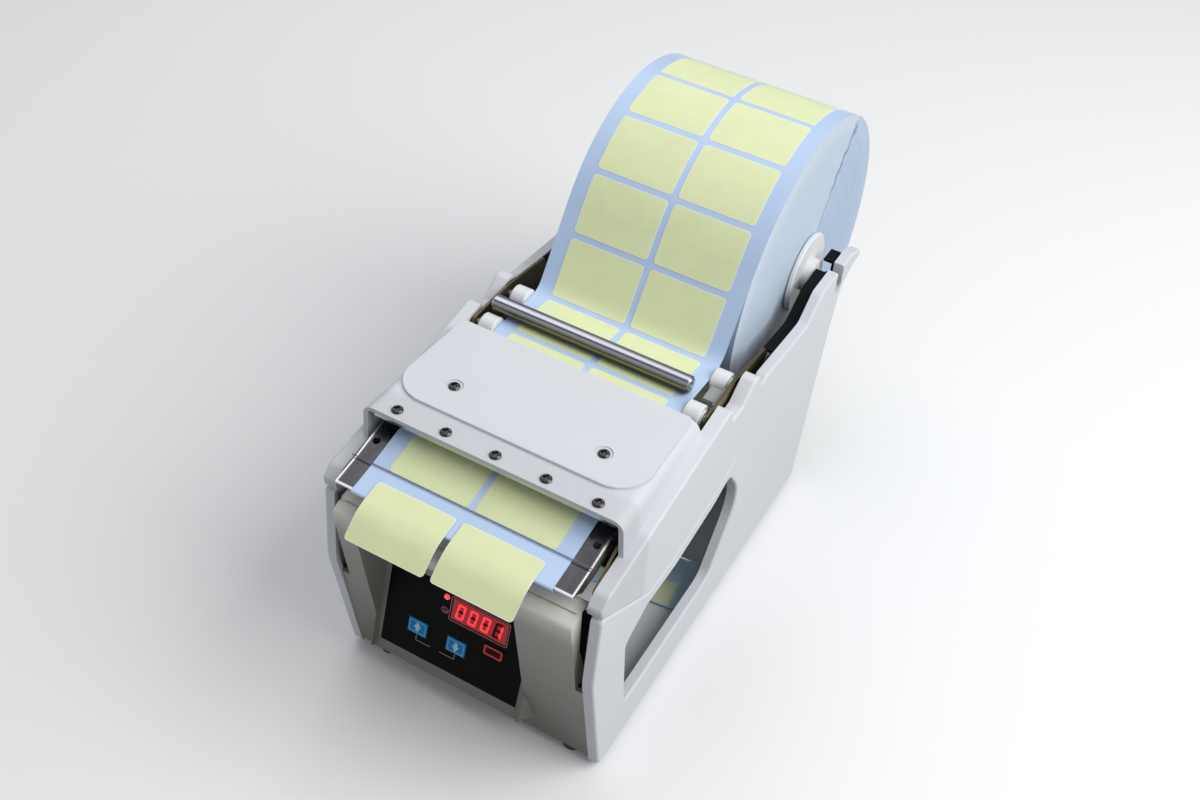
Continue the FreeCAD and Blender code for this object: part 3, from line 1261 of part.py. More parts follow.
def build_cross_member():
    """Hollow rear cross member with the power inlet and the switch in its back."""
    outer = (
        (CROSS_FRONT_Y, CROSS_LOW_Z, 3.0),
        (CROSS_FRONT_Y, CROSS_HIGH_Z, 5.0),
        (CROSS_REAR_Y, CROSS_HIGH_Z, 5.0),
        (CROSS_REAR_Y, CROSS_LOW_Z, 3.0),
    )
    wall = CROSS_WALL
    inner = (
        (CROSS_FRONT_Y + wall, CROSS_LOW_Z + wall, 1.0),
        (CROSS_FRONT_Y + wall, CROSS_HIGH_Z - wall, 3.0),
        (CROSS_REAR_Y - wall, CROSS_HIGH_Z - wall, 3.0),
        (CROSS_REAR_Y - wall, CROSS_LOW_Z + wall, 1.0),
    )
    member = prism(outer, -RIM_X, RIM_X).cut(prism(inner, -RIM_X + wall, RIM_X - wall))
    inlet_hole = y_cylinder(INLET_RADIUS + SEAT, -5.0, 5.0)
    pieces["rear_cross_member"] = member.cut(inlet_hole).cut(rocker_block(6.6, 9.6, -5.0, 5.0))
    barrel = y_cylinder(INLET_RADIUS, -9.0, 0.0)
    collar = y_cylinder(INLET_RADIUS + 1.5, 0.0, 1.2)
    socket = y_cylinder(INLET_RADIUS - 1.25, -6.8, 1.2)
    pin = y_cylinder(1.0, -7.0, 0.4)
    pieces["dc_inlet"] = join([join([barrel, collar]).cut(socket), pin])
    rim = rocker_block(7.5, 10.5, 0.0, BEZEL_RIM)
    outer_edges = [edge for edge in rim.Edges if edge.BoundBox.YMin > CROSS_REAR_Y + BEZEL_RIM / 2.0]
    rim = rim.makeChamfer(0.8, outer_edges)
    well = rocker_block(ROCKER_HALF + 0.2, 8.0, -7.0, 5.0)
    pieces["rocker_bezel"] = join([rocker_block(6.5, 9.5, -12.0, 0.0), rim]).cut(well)
    axis = (CROSS_REAR_Y - ROCKER_AXIS_DEPTH, POWER_Z)
    hub = x_cylinder(axis, ROCKER_HUB_RADIUS, ROCKER_X - ROCKER_HALF, ROCKER_X + ROCKER_HALF)
    hub = hub.common(box(ROCKER_X - ROCKER_HALF, ROCKER_X + ROCKER_HALF, axis[0] - ROCKER_HUB_RADIUS, axis[0],
                         axis[1] - ROCKER_HUB_RADIUS, axis[1] + ROCKER_HUB_RADIUS))
    rocker = prism((
        (CROSS_REAR_Y - 3.0, POWER_Z - 7.4, 1.0),
        (CROSS_REAR_Y + 2.6, POWER_Z - 7.4, 0.8),
        (CROSS_REAR_Y + 1.4, POWER_Z, 6.0),
        (CROSS_REAR_Y + 2.6, POWER_Z + 7.4, 0.8),
        (CROSS_REAR_Y - 3.0, POWER_Z + 7.4, 1.0),
        (CROSS_REAR_Y - 5.0, POWER_Z, 6.0),
    ), ROCKER_X - ROCKER_HALF, ROCKER_X + ROCKER_HALF)
    rocker = join([rocker, hub])
    rocker.rotate(Vector(0, axis[0], axis[1]), Vector(1, 0, 0), ROCKER_TILT)
    pieces["power_rocker"] = rocker


def build_feet():
    """Four rubber feet under the front box and the cross member."""
    feet = []
    for x in (-FOOT_X, FOOT_X):
        feet.append(z_cylinder(x, FRONT_FOOT_Y, FOOT_RADIUS, -FOOT_HEIGHT, PANEL_LOW[1]))
        feet.append(z_cylinder(x, REAR_FOOT_Y, FOOT_RADIUS, -FOOT_HEIGHT, CROSS_LOW_Z))
    pieces["feet"] = Part.makeCompound(feet)


def save_all():
    """Move every piece to the part's frame and write one file for each."""
    os.makedirs("parts", exist_ok=True)
    whole = Part.makeCompound(list(pieces.values())).BoundBox
    move = Vector(-(whole.XMin + whole.XMax) / 2.0, -(whole.YMin + whole.YMax) / 2.0, -whole.ZMin)
    for name, shape in pieces.items():
        moved = shape.copy()
        moved.translate(move)
        moved.exportStep(os.path.join("parts", name + ".step"))
    print("offset", move, "size", whole.XLength, whole.YLength, whole.ZLength)


build_side_panels()
build_bearer_plates()
build_hood()
build_hood_fasteners()
build_film()
build_frame_plates()
build_deck()
build_guides()
build_web_guide_bracket()
build_liner()
build_labels()
build_roll()
build_front_panel()
build_controls()
build_drive()
build_front_box()
build_cross_member()
build_feet()
save_all()
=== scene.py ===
"""Electric label dispenser with a loaded roll: finishes, printed web, display and studio."""

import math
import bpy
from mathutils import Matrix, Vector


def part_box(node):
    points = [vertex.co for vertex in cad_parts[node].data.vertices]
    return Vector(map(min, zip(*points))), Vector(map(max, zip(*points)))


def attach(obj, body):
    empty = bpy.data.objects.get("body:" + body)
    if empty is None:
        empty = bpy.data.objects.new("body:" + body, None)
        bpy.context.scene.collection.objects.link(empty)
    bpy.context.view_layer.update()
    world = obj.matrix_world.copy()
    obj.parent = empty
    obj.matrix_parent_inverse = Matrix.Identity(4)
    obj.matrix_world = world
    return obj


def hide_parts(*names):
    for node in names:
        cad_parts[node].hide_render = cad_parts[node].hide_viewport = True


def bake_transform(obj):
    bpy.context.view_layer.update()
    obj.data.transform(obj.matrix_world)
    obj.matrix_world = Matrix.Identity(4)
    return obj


bl_info = {
    "name": "Label dispenser",
    "version": (1, 0, 0),
    "blender": (4, 5, 0),
    "location": "View3D > Sidebar > Dispenser",
    "description": "Dresses an electric label dispenser and its loaded roll",
    "category": "Object",
}

import bpy
from mathutils import Matrix, Vector

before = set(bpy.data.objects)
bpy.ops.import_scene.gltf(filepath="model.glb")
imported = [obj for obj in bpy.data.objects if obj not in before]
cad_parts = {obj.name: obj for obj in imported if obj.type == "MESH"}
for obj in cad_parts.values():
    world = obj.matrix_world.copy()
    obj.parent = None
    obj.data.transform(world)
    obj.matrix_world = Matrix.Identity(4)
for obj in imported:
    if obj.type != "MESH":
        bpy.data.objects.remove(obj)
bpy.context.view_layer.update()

MM = 0.001

# The machine's own sizes, in millimetres: Y from its front foot, Z from its underside
SPINDLE_Y = 255.75
SPINDLE_Z = 141.5
CONSOLE_FOOT = (-7.75, 26.4)
CONSOLE_LEAN = 17.5
HOOD_MIDDLE = 74.0
# LIP_REAR ends the hood's painted shade and NOSE_FOOT starts the front panel's painted highlight
LIP_REAR = 33.4
NOSE_FOOT = 119.5
LAMP_SPLIT = 65.5

# Corners of the web's path, as Y, Z and bend radius
PEEL_EDGE = (-16.0, 148.0, 0.0)
DECK_KNEE = (2.0, 150.5, 20.0)
DECK_TOP = (22.7, 155.0, 20.0)
FRONT_GUIDE_TOP = (111.8, 155.0, 20.0)
REAR_GUIDE_TOP = (142.8, 152.0, 0.0)

# The slack span: its bend behind the rear guide, how far beyond the roll's radius it ends, and
# the share of its height at which a place is worked out that nothing uses
WEB_BEND_Y = 151.0
WEB_BEND_RADIUS = 12.0
SPAN_LIFT = -0.3
SPAN_BLEND = 0.55

# Sheets: steps in an arc and round the roll, crosswise cuts, and the labels' middle over the line
ARC_STEPS = 10
ROLL_STEPS = 180
SHEET_CUT = 2.0
ROW_CUT = 4.0
DECK_LABEL_LIFT = 0.5
SPAN_LABEL_LIFT = 0.45
# What the deck's slope adds to the way to the first row, and the roll's turn left bare at its end
DECK_SLOPE_EXTRA = 0.2
ROLL_BARE_END = 3.0

# The wound turns, and how far their edges wave and stand back on the roll's faces
ROLL_TURNS = 26
TURN_WAVE = 0.16
TURN_BACK = 0.1

# Start and bend of the labels that leave the peel edge, as Y, Z and bend radius
PEELED_START = (-4.6, 150.6, 0.0)
PEELED_BEND = (-22.4, 148.0, 22.0)
PEELED_TIP_RISE = 0.1

# Waste web from the nip to the ground, as Y, Z and bend radius, its drift in degrees, and the
# label left on its underside, with the bare backing behind it
WASTE_LINE = (
    (49.17, 125.7, 0.0),
    (51.85, 124.88, 8.45),
    (112.0, 42.6, 60.0),
    (146.0, 1.2, 11.0),
    (104.0, -2.2, 0.0),
)
WASTE_DRIFT_START = 52.0
WASTE_DRIFT = 6.4
WASTE_LABEL_LIFT = -0.3
WASTE_BARE_END = 0.6

# Ledge behind the front panel's nose, as Y, Z and bend radius
LEDGE_LINE = ((-9.6, 130.6, 0.0), (-1.5, 132.2, 4.0), (0.6, 124.0, 0.0))
LEDGE_HALF = 66.4
LEDGE_THICK = 1.6

# Folded upper edges of the bearer plates, as Y, Z and bend radius, before and behind the slot
RIM_INNER = 64.6
RIM_OUTER = 70.4
RIM_THICK = 1.4
RIM_LINES = (
    (
        (184.0, 143.0, 0.0),
        (207.0, 140.4, 12.0),
        (214.5, 140.0, 6.0),
        (231.0, 150.9, 6.0),
        (250.6, 151.0, 0.0),
    ),
    ((261.0, 151.0, 0.0), (272.5, 150.2, 0.0)),
)

# The control panel's layout, in millimetres on its own plane
DISPLAY_X = 2.5
DISPLAY_U = 40.0
DISPLAY_WIDE = 33.0
DISPLAY_HIGH = 13.0
UP_KEY_X = -31.4
DOWN_KEY_X = -7.8
KEY_U = 18.3
KEY_WIDE = 11.5
KEY_HIGH = 9.0
KEY_FOOT_U = KEY_U - KEY_HIGH / 2.0 - 0.6
KEY_PROUD = 0.5
BRACKET_DROP = 3.4
BRACKET_LEFT = -22.6
BRACKET_RIGHT = -16.6
RESET_X = 13.4
RESET_U = 26.2
RESET_WIDE = 11.8
RESET_HIGH = 6.7
LAMP_X = -17.8
LAMP_LOW_U = 36.8
LAMP_RADIUS = 1.6
LINE_WIDE = 0.35
PRINT_LIFT = 0.03
ARROW_RADIUS = 2.6
ARROW_STEM = (1.9, 2.2)
SHOWN = "0001"
SEGMENT_WIDE = 1.25
SEGMENT_GAP = 0.12
SEGMENT_LIFT = 0.05
SEGMENT_THICK = 0.08
DIGIT_WIDE = 4.9
SLANT = 0.14

# Each segment's share of the digit's half width and half height, and whether it lies level
SEGMENTS = {
    "top": (0.0, 1.0, True),
    "middle": (0.0, 0.0, True),
    "bottom": (0.0, -1.0, True),
    "upper_left": (-1.0, 0.5, False),
    "upper_right": (1.0, 0.5, False),
    "lower_left": (-1.0, -0.5, False),
    "lower_right": (1.0, -0.5, False),
}
DIGITS = {
    "0": ("top", "bottom", "upper_left", "upper_right", "lower_left", "lower_right"),
    "1": ("upper_right", "lower_right"),
}

# Studio: the camera's place on the machine and its turns in degrees, and lights in metres and watts
CAMERA_PLACE = (251.8, -366.2, 664.6)
CAMERA_AZIMUTH = 27.149
CAMERA_ELEVATION = 44.770
CAMERA_ROLL = 3.816
CAMERA_LENS = 43.97
CAMERA_SHIFT = (0.0007, 0.0029)
LIGHTS = (("key_light", (1.00, 0.10, 1.15), 17.0), ("fill_light", (-0.6, 0.5, 1.3), 4.0))
LIGHT_SIZE = 1.2
LIGHT_AIM = (0.0, 0.0, 0.12)
WORLD_TINT = (0.93, 0.96, 1.0, 1.0)
WORLD_STRENGTH = 0.405
FLOOR_SIZE = 8.0


def middle(node):
    """Middle of a frame piece's box."""
    low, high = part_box(node)
    return (low + high) / 2.0


spindle = middle("spindle_shaft")
ORIGIN = Vector((0.0, spindle.y - SPINDLE_Y * MM, spindle.z - SPINDLE_Z * MM))


def place(x, y, z):
    """A place on the machine, from millimetres to the shared frame."""
    return ORIGIN + Vector((x, y, z)) * MM


# Upright plane of the web: its X runs along Y, its Y runs up and its Z runs across
WEB_PLANE = Matrix.Translation(ORIGIN) @ Matrix(
    ((0, 0, 1, 0), (1, 0, 0, 0), (0, 1, 0, 0), (0, 0, 0, 1))
)
CONSOLE_PLANE = Matrix.Translation(place(0.0, *CONSOLE_FOOT)) @ Matrix.Rotation(
    math.radians(90.0 - CONSOLE_LEAN), 4, "X"
)


def length(name, description, value):
    """A size property with its default."""
    return bpy.props.FloatProperty(name=name, description=description, default=value)


class DispenserSizes(bpy.types.PropertyGroup):
    """Sizes of the printed and loose pieces, in millimetres."""

    label_width: length("Label width", "Width of one label", 44.0)
    label_length: length("Label length", "Length along the web", 32.5)
    label_pitch: length("Label pitch", "From row to row", 36.0)
    label_first: length("First row", "Front edge of the first row behind the film's edge", 2.2)
    label_corner: length("Label corner", "Corner radius", 1.9)
    label_thick: length("Label thickness", "Thickness of a label", 0.2)
    label_rim: length("Label rim", "Width of the pale cut edge", 0.38)
    column_gap: length("Column gap", "Between the two columns", 3.8)
    column_offset: length("Column offset", "Off the web's middle", -0.2)
    web_width: length("Web width", "Width of the backing", 110.0)
    web_thick: length("Web thickness", "Backing thickness", 0.3)
    roll_radius: length("Roll radius", "Outside of the wound roll", 91.2)
    span_slack: length("Span slack", "Wider gap between two rows under the hood", 5.0)
    digit_height: length("Digit height", "Height of a digit", 9.4)
    digit_pitch: length("Digit pitch", "From digit to digit", 7.4)


def colour(name, description, value):
    """A colour property with its default."""
    limits = {"size": 3, "min": 0.0, "max": 1.0}
    return bpy.props.FloatVectorProperty(
        name=name, description=description, subtype="COLOR", default=value, **limits
    )


class DispenserColours(bpy.types.PropertyGroup):
    """Colours of the finishes, as linear values."""

    casing: colour("Casing", "Moulded casings", (0.70, 0.715, 0.75))
    # Front is a darker copy of the casing grey: painted shade on the front panel's face.
    front: colour("Front", "Front panel", (0.43, 0.42, 0.385))
    label: colour("Label", "Face of the labels", (0.80, 0.86, 0.50))
    label_rim: colour("Label rim", "Die-cut edge of the labels", (0.96, 0.94, 0.76))
    backing: colour("Backing", "Backing liner", (0.52, 0.66, 0.90))
    steel: colour("Steel", "Bright steel", (0.62, 0.62, 0.64))
    dark_steel: colour("Dark steel", "Dark polished deck", (0.078, 0.075, 0.082))
    gold: colour("Gold", "Passivated plates", (0.21, 0.14, 0.05))
    black: colour("Black", "Black coated plates", (0.006, 0.006, 0.007))
    white: colour("White", "White collars and flanges", (0.80, 0.81, 0.82))
    key: colour("Key", "Blue keys", (0.02, 0.25, 0.60))
    glow: colour("Glow", "Lit segments and lamp", (1.0, 0.035, 0.055))


def sizes():
    return bpy.context.scene.dispenser_sizes


def colours():
    return bpy.context.scene.dispenser_colours


# Finishes


class Value:
    """A number that changes over a surface; arithmetic on it adds its own nodes."""

    def __init__(self, nodes, socket):
        self.nodes = nodes
        self.socket = socket

    def maths(self, operation, *terms, clamp=False):
        settings = {"operation": operation, "use_clamp": clamp}
        return self.nodes.value("ShaderNodeMath", settings, dict(enumerate(terms)))

    def __add__(self, other):
        return self.maths("ADD", self, other)

    def __radd__(self, other):
        return self.maths("ADD", other, self)

    def __sub__(self, other):
        return self.maths("SUBTRACT", self, other)

    def __rsub__(self, other):
        return self.maths("SUBTRACT", other, self)

    def __mul__(self, other):
        return self.maths("MULTIPLY", self, other)

    def __rmul__(self, other):
        return self.maths("MULTIPLY", other, self)

    def __pow__(self, other):
        return self.maths("POWER", self, other)

    def __abs__(self):
        return self.maths("ABSOLUTE", self)

    def above(self, limit, soft):
        """0 below the limit, 1 above it, with a soft step."""
        return self.maths("DIVIDE", self - (limit - soft), 2.0 * soft, clamp=True)

    def below(self, limit, soft):
        return 1.0 - self.above(limit, soft)


class Nodes:
    """The emptied node tree of a material or a world."""

    def __init__(self, owner):
        owner.use_nodes = True
        self.tree = owner.node_tree
        self.tree.nodes.clear()

    def feed(self, inlet, value):
        """Link a value or a socket to an inlet, or give the inlet a number or a colour."""
        if isinstance(value, Value):
            value = value.socket
        if isinstance(value, bpy.types.NodeSocket):
            self.tree.links.new(value, inlet)
        else:
            inlet.default_value = value

    def node(self, kind, settings=None, values=None):
        made = self.tree.nodes.new(kind)
        for setting, value in (settings or {}).items():
            setattr(made, setting, value)
        for socket, value in (values or {}).items():
            self.feed(made.inputs[socket], value)
        return made

    def value(self, kind, settings=None, values=None, output=0):
        return Value(self, self.node(kind, settings, values).outputs[output])


class Finish(Nodes):
    """One material, built up from its surface shader."""

    def __init__(self, name, tint, roughness, **constants):
        self.material = bpy.data.materials.new(name)
        super().__init__(self.material)
        self.tint = tint
        self.base = (*tint, 1.0)
        self.coordinates = self.node("ShaderNodeTexCoord").outputs["Object"]
        values = {"Base Color": self.base, "Roughness": roughness}
        values.update((socket.replace("_", " "), value) for socket, value in constants.items())
        self.shader = self.node("ShaderNodeBsdfPrincipled", None, values)
        self.node("ShaderNodeOutputMaterial", None, {"Surface": self.shader.outputs[0]})

    def set(self, socket, value):
        self.feed(self.shader.inputs[socket], value)
        return self

    def axes(self):
        split = self.node("ShaderNodeSeparateXYZ", None, {0: self.coordinates})
        return [Value(self, socket) for socket in split.outputs]

    def noise(self, scale, detail=2.0, roughness=0.5, stretch=None):
        """Noise on object coordinates, whose axes stretch can scale."""
        vector = self.coordinates
        if stretch is not None:
            values = {"Vector": vector, "Scale": stretch}
            vector = self.node("ShaderNodeMapping", None, values).outputs[0]
        values = {"Vector": vector, "Scale": scale, "Detail": detail, "Roughness": roughness}
        return self.value("ShaderNodeTexNoise", None, values)

    def mixed(self, mask, low, high):
        """A colour that runs from low to high as the mask rises."""
        values = {0: mask, 6: low, 7: high}
        return self.node("ShaderNodeMix", {"data_type": "RGBA"}, values).outputs[2]

    def shade(self, mask, low, high):
        """Base colour runs from low to high as the mask rises."""
        self.base = self.mixed(mask, (*low, 1.0), (*high, 1.0))
        return self.set("Base Color", self.base)

    def tones(self, mask, low, high):
        """Base colour runs between two strengths of the finish's own colour."""
        return self.shade(mask, scaled(self.tint, low), scaled(self.tint, high))

    def over(self, mask, tint):
        """Lay a colour over what the base colour is now, where the mask is 1."""
        self.base = self.mixed(mask, self.base, (*tint, 1.0))
        return self.set("Base Color", self.base)

    def bump(self, height, strength, distance):
        """Add the finish's relief, which comes last, and give its material."""
        values = {"Height": height, "Strength": strength, "Distance": distance}
        self.set("Normal", self.node("ShaderNodeBump", None, values).outputs[0])
        return self.material


def scaled(tint, factor):
    return tuple(min(1.0, channel * factor) for channel in tint)


def moulded(name, tint, nose=None, lip=None):
    """Moulded casing: a fine spark texture and faint flow marks.

    Above the height nose it is painted paler, as a painted highlight on the nose's top, and towards
    the foot painted shade darkens it. In front of lip painted shade darkens it.
    """
    roughness = 0.42
    finish = Finish(name, tint, roughness)
    finish.tones(finish.noise(14.0, 3.0), 0.955, 1.035)
    axes = finish.axes()
    if nose:
        height = axes[2] - ORIGIN.z
        # Painted highlight: paler above the nose's foot, where the nose faces up to the light.
        finish.over(height.above(nose, 0.0085), scaled(tint, 1.95))
        # Painted shade: darker and browner towards the foot.
        finish.over(height.below(0.072, 0.060) * 0.88, (0.115, 0.103, 0.086))
    if lip:
        # Painted shade: the hood's lip strip is painted darker than its top.
        finish.over((axes[1] - ORIGIN.y).below(lip, 0.002), scaled(tint, 0.86))
    finish.set("Roughness", roughness - 0.06 + finish.noise(55.0, 4.0) * 0.14)
    return finish.bump(finish.noise(2600.0), 0.10, 0.00022)


def paper(name, tint, roughness=0.62):
    """Coated paper: cloudy colour and short fibres."""
    finish = Finish(name, tint, roughness)
    finish.tones(finish.noise(60.0, 4.0, 0.6), 0.93, 1.06)
    fibre = finish.noise(1500.0, 3.0, 0.6)
    finish.set("Roughness", roughness - 0.08 + fibre * 0.16)
    return finish.bump(fibre * 0.25 + finish.noise(70.0), 0.25, 0.0006)


def glassine(name, tint):
    """Smooth supercalendered backing with a faint waviness."""
    finish = Finish(name, tint, 0.34)
    finish.tones(finish.noise(45.0, 3.0), 0.93, 1.07)
    return finish.bump(finish.noise(55.0), 0.22, 0.0012)


def brushed(name, tint, roughness, stretch=(1.0, 1.0, 1.0)):
    """Metal with fine lines along the axis that is stretched."""
    finish = Finish(name, tint, roughness, Metallic=1.0)
    lines = finish.noise(900.0, 4.0, 0.65, stretch)
    finish.tones(finish.noise(40.0, 3.0), 0.86, 1.12)
    finish.set("Roughness", roughness - 0.05 + lines * 0.14)
    return finish.bump(lines, 0.12, 0.00008)


def painted_reflection_rod(name, tint, centre):
    """Polished rod with painted reflections: bands of colour along it, set by the angle round its
    axis.
    """
    finish = Finish(name, tint, 0.24, Metallic=1.0)
    y, z = finish.axes()[1:]
    radius = centre.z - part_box("weight_rod")[0].z
    diagonal = 0.7071
    turn = ((y - centre.y) + (z - centre.z)) * (diagonal / radius)
    # Painted reflections: light, dark, olive and black bands by the angle round the rod.
    finish.over(turn.above(0.80, 0.12), (0.17, 0.15, 0.32))
    finish.over(abs(turn - 0.48).below(0.15, 0.08), (0.64, 0.64, 0.70))
    finish.over(abs(turn - 0.22).below(0.05, 0.05), (0.10, 0.10, 0.17))
    finish.over(abs(turn + 0.02).below(0.10, 0.06), (0.58, 0.58, 0.64))
    finish.over(turn.below(-0.24, 0.10), (0.24, 0.22, 0.12))
    finish.over(turn.below(-0.70, 0.10), (0.03, 0.03, 0.03))
    grain = finish.noise(500.0, 3.0, 0.6, (0.02, 1.0, 1.0))
    finish.set("Roughness", 0.20 + grain * 0.08)
    return finish.bump(grain, 0.04, 0.00005)


def coated(name, tint, roughness=0.5, **constants):
    """Powder coat or rubber: a fine orange peel."""
    finish = Finish(name, tint, roughness, **constants)
    peel = finish.noise(900.0, 3.0)
    finish.tones(finish.noise(30.0, 3.0), 0.85, 1.2)
    finish.set("Roughness", roughness - 0.08 + peel * 0.16)
    return finish.bump(peel, 0.25, 0.00025)


def polymer(name, tint):
    """Turned white plastic with faint tool rings."""
    finish = Finish(name, tint, 0.36, Subsurface_Weight=0.08, Subsurface_Scale=0.002)
    finish.tones(finish.noise(60.0, 4.0), 0.95, 1.03)
    return finish.bump(finish.noise(700.0, stretch=(6.0, 1.0, 1.0)), 0.10, 0.0001)


def film(name, edge_y):
    """Clear film: see-through head on, glossy at a glance, with a dark cut edge in front."""
    finish = Finish(name, (0.86, 0.90, 0.95), 0.08)
    glance = finish.value("ShaderNodeLayerWeight", None, {"Blend": 0.22}, "Fresnel")
    streak = finish.noise(90.0, 3.0, 0.6, (1.0, 0.25, 1.0))
    edge = finish.axes()[1].below(edge_y + 0.0006, 0.0001)
    finish.over(edge, (0.10, 0.13, 0.22))
    finish.set("Alpha", glance * 0.10 + streak.above(0.62, 0.08) * 0.03 + edge * 0.70)
    return finish.bump(streak, 0.20, 0.0008)


def mirror_steel(name, tint):
    """Dark polished sheet with light streaks painted in as reflections, which also vary its
    roughness and relief, and painted highlights on its edges at its sides and front.
    """
    finish = Finish(name, tint, 0.16, Metallic=1.0)
    streak = finish.noise(260.0, 4.0, 0.65, (1.0, 0.06, 1.0))
    # Painted reflections: the streaks lighten and darken the colour.
    finish.tones(streak, 0.55, 1.9)
    x, y, z = finish.axes()
    low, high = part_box("deck_plate")
    # Painted highlights on the side and front edges.
    finish.over(abs(x).above(high.x - 0.0009, 0.0003), (0.80, 0.80, 0.82))
    finish.over(y.below(low.y + 0.0008, 0.0003), (0.75, 0.75, 0.78))
    spots = finish.noise(900.0).above(0.68, 0.04)
    finish.set("Roughness", 0.10 + streak * 0.22 + spots * 0.15)
    return finish.bump(streak, 0.10, 0.00015)


def passivated(name, tint):
    """Zinc plate with a yellow passivation that drifts to grey."""
    finish = Finish(name, tint, 0.34, Metallic=1.0)
    finish.shade(finish.noise(22.0, 4.0, 0.6), tint, (0.15, 0.14, 0.11))
    scratch = finish.noise(600.0, 3.0, 0.6, (1.0, 1.0, 0.15))
    finish.set("Roughness", 0.26 + scratch * 0.2)
    return finish.bump(scratch, 0.1, 0.0001)


def membrane(name, tint):
    """Polyester overlay with a fine matt grain."""
    finish = Finish(name, tint, 0.45, Specular_IOR_Level=0.06)
    finish.set("Roughness", 0.40 + finish.noise(35.0, 3.0) * 0.16)
    return finish.bump(finish.noise(3000.0), 0.12, 0.0001)


def glowing(name, tint, strength):
    """Lit segment behind a red filter."""
    finish = Finish(name, tint, 0.4)
    finish.tones(finish.noise(700.0, 1.0), 0.42, 0.55)
    finish.set("Emission Color", (*tint, 1.0))
    return finish.set("Emission Strength", strength).material


def lamps(name, tint, split_z):
    """Indicator lamps: the upper one is lit and the lower one is off."""
    finish = Finish(name, tint, 0.25)
    lit = finish.axes()[2].above(split_z, 0.001)
    finish.shade(lit, (0.10, 0.03, 0.03), (0.95, 0.25, 0.30))
    finish.set("Emission Color", finish.mixed(lit, (0.0, 0.0, 0.0, 1.0), (*tint, 1.0)))
    return finish.set("Emission Strength", 0.8).material


def banded(name, dark, light):
    """Dark housing with pale windows, one above the other."""
    finish = Finish(name, dark, 0.4)
    pitch = 0.0046
    turns = (finish.axes()[2] - ORIGIN.z) * (2.0 * math.pi / pitch)
    finish.over(turns.maths("SINE", turns).above(0.35, 0.1), light)
    return finish.bump(finish.noise(1500.0), 0.1, 0.0001)


def flat_print(name, tint):
    """Screen-printed ink."""
    finish = Finish(name, tint, 0.45)
    speck = finish.noise(1800.0)
    finish.tones(speck, 0.9, 1.1)
    return finish.bump(speck, 0.05, 0.00005)


def roll_face(name, tint):
    """Edges of the wound turns: rings, a dark line painted as shadow along a radial seam, and
    painted shade behind the seam.
    """
    finish = Finish(name, tint, 0.5, Sheen_Weight=0.1)
    x, y, z = finish.axes()
    across = y - spindle.y
    up = z - spindle.z
    radius = (across * across + up * up) ** 0.5
    angle = radius.maths("ARCTAN2", up, across)

    def rings(scale, swirl, roughness):
        values = {"W": radius * scale + angle * swirl, "Detail": 4.0, "Roughness": roughness}
        return finish.value("ShaderNodeTexNoise", {"noise_dimensions": "1D"}, values)

    coarse = rings(260.0, 0.6, 0.7)
    fine = rings(900.0, 0.7, 0.75)
    finish.tones(coarse, 0.66, 1.20)
    finish.over(fine.above(0.55, 0.07) * 0.75, (0.90, 0.95, 1.0))
    finish.over(fine.below(0.42, 0.06) * 0.50, (0.30, 0.45, 0.74))
    rim = radius.above(sizes().roll_radius * MM - 0.010, 0.006)
    finish.over(rim * 0.35, (0.88, 0.93, 0.98))
    # Painted shadow: a dark radial line along the seam, on the right face only.
    seam_angle = math.radians(55.0)
    wander = (finish.noise(90.0, 3.0) - 0.5) * 0.22
    seam = abs(angle - seam_angle + wander).below(0.018, 0.012)
    seam = seam * radius.above(0.026, 0.002) * radius.below(0.087, 0.002)
    finish.over(seam * 0.90 * x.above(0.0, 0.001), (0.07, 0.14, 0.33))
    # Painted shade: darker blue on the rear side of the seam.
    behind = (angle - seam_angle).below(0.0, 0.01) * (angle + 0.9).above(0.0, 0.3)
    finish.over(behind * 0.34, (0.22, 0.38, 0.68))
    return finish.bump(coarse + fine * 0.6 - seam * 0.8, 0.55, 0.0006)


def dress(material, names):
    """Give frame pieces, named in one line, one finish."""
    for name in names.split():
        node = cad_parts[name]
        if not node.material_slots:
            node.data.materials.append(material)
        for slot in node.material_slots:
            slot.material = material


def made(name):
    """A finish that was made before."""
    return bpy.data.materials[name]


def label_finishes():
    """Face and cut rim of the labels."""
    return made("label_face"), made("label_cut_rim")


# Modelling


def settle(piece, name, body, slot, *materials):
    """Name a finished piece, give it its finishes and let it ride on its body."""
    piece.name = name
    piece.data.name = name
    slots = [face.material_index for face in piece.data.polygons]
    piece.data.materials.clear()
    for material in materials:
        piece.data.materials.append(material)
    for face, index in zip(piece.data.polygons, slots):
        face.material_index = min(index, len(materials) - 1)
    if body is not None:
        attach(piece, body)
    return piece


def clear_selection():
    if bpy.context.mode != "OBJECT":
        bpy.ops.object.mode_set(mode="OBJECT")
    bpy.ops.object.select_all(action="DESELECT")


def pick(piece):
    """Select one piece alone and make it the active one."""
    clear_selection()
    piece.select_set(True)
    bpy.context.view_layer.objects.active = piece


def select_all():
    bpy.ops.mesh.select_all(action="SELECT")


def edit(piece):
    """Enter edit mode on one piece, with all of it selected."""
    pick(piece)
    bpy.ops.object.mode_set(mode="EDIT")
    select_all()


def leave_edit():
    bpy.ops.object.mode_set(mode="OBJECT")


def edit_where(piece, kind, test):
    """Enter edit mode with only the vertices or edges selected that pass a test."""
    edit(piece)
    bpy.ops.mesh.select_mode(type=kind)
    bpy.ops.mesh.select_all(action="DESELECT")
    leave_edit()
    for part in piece.data.vertices if kind == "VERT" else piece.data.edges:
        part.select = test(part)
    bpy.ops.object.mode_set(mode="EDIT")


def apply_places(piece):
    """Put the piece's place, turn and size in its mesh."""
    pick(piece)
    bpy.ops.object.transform_apply(location=True, rotation=True, scale=True)
    return piece


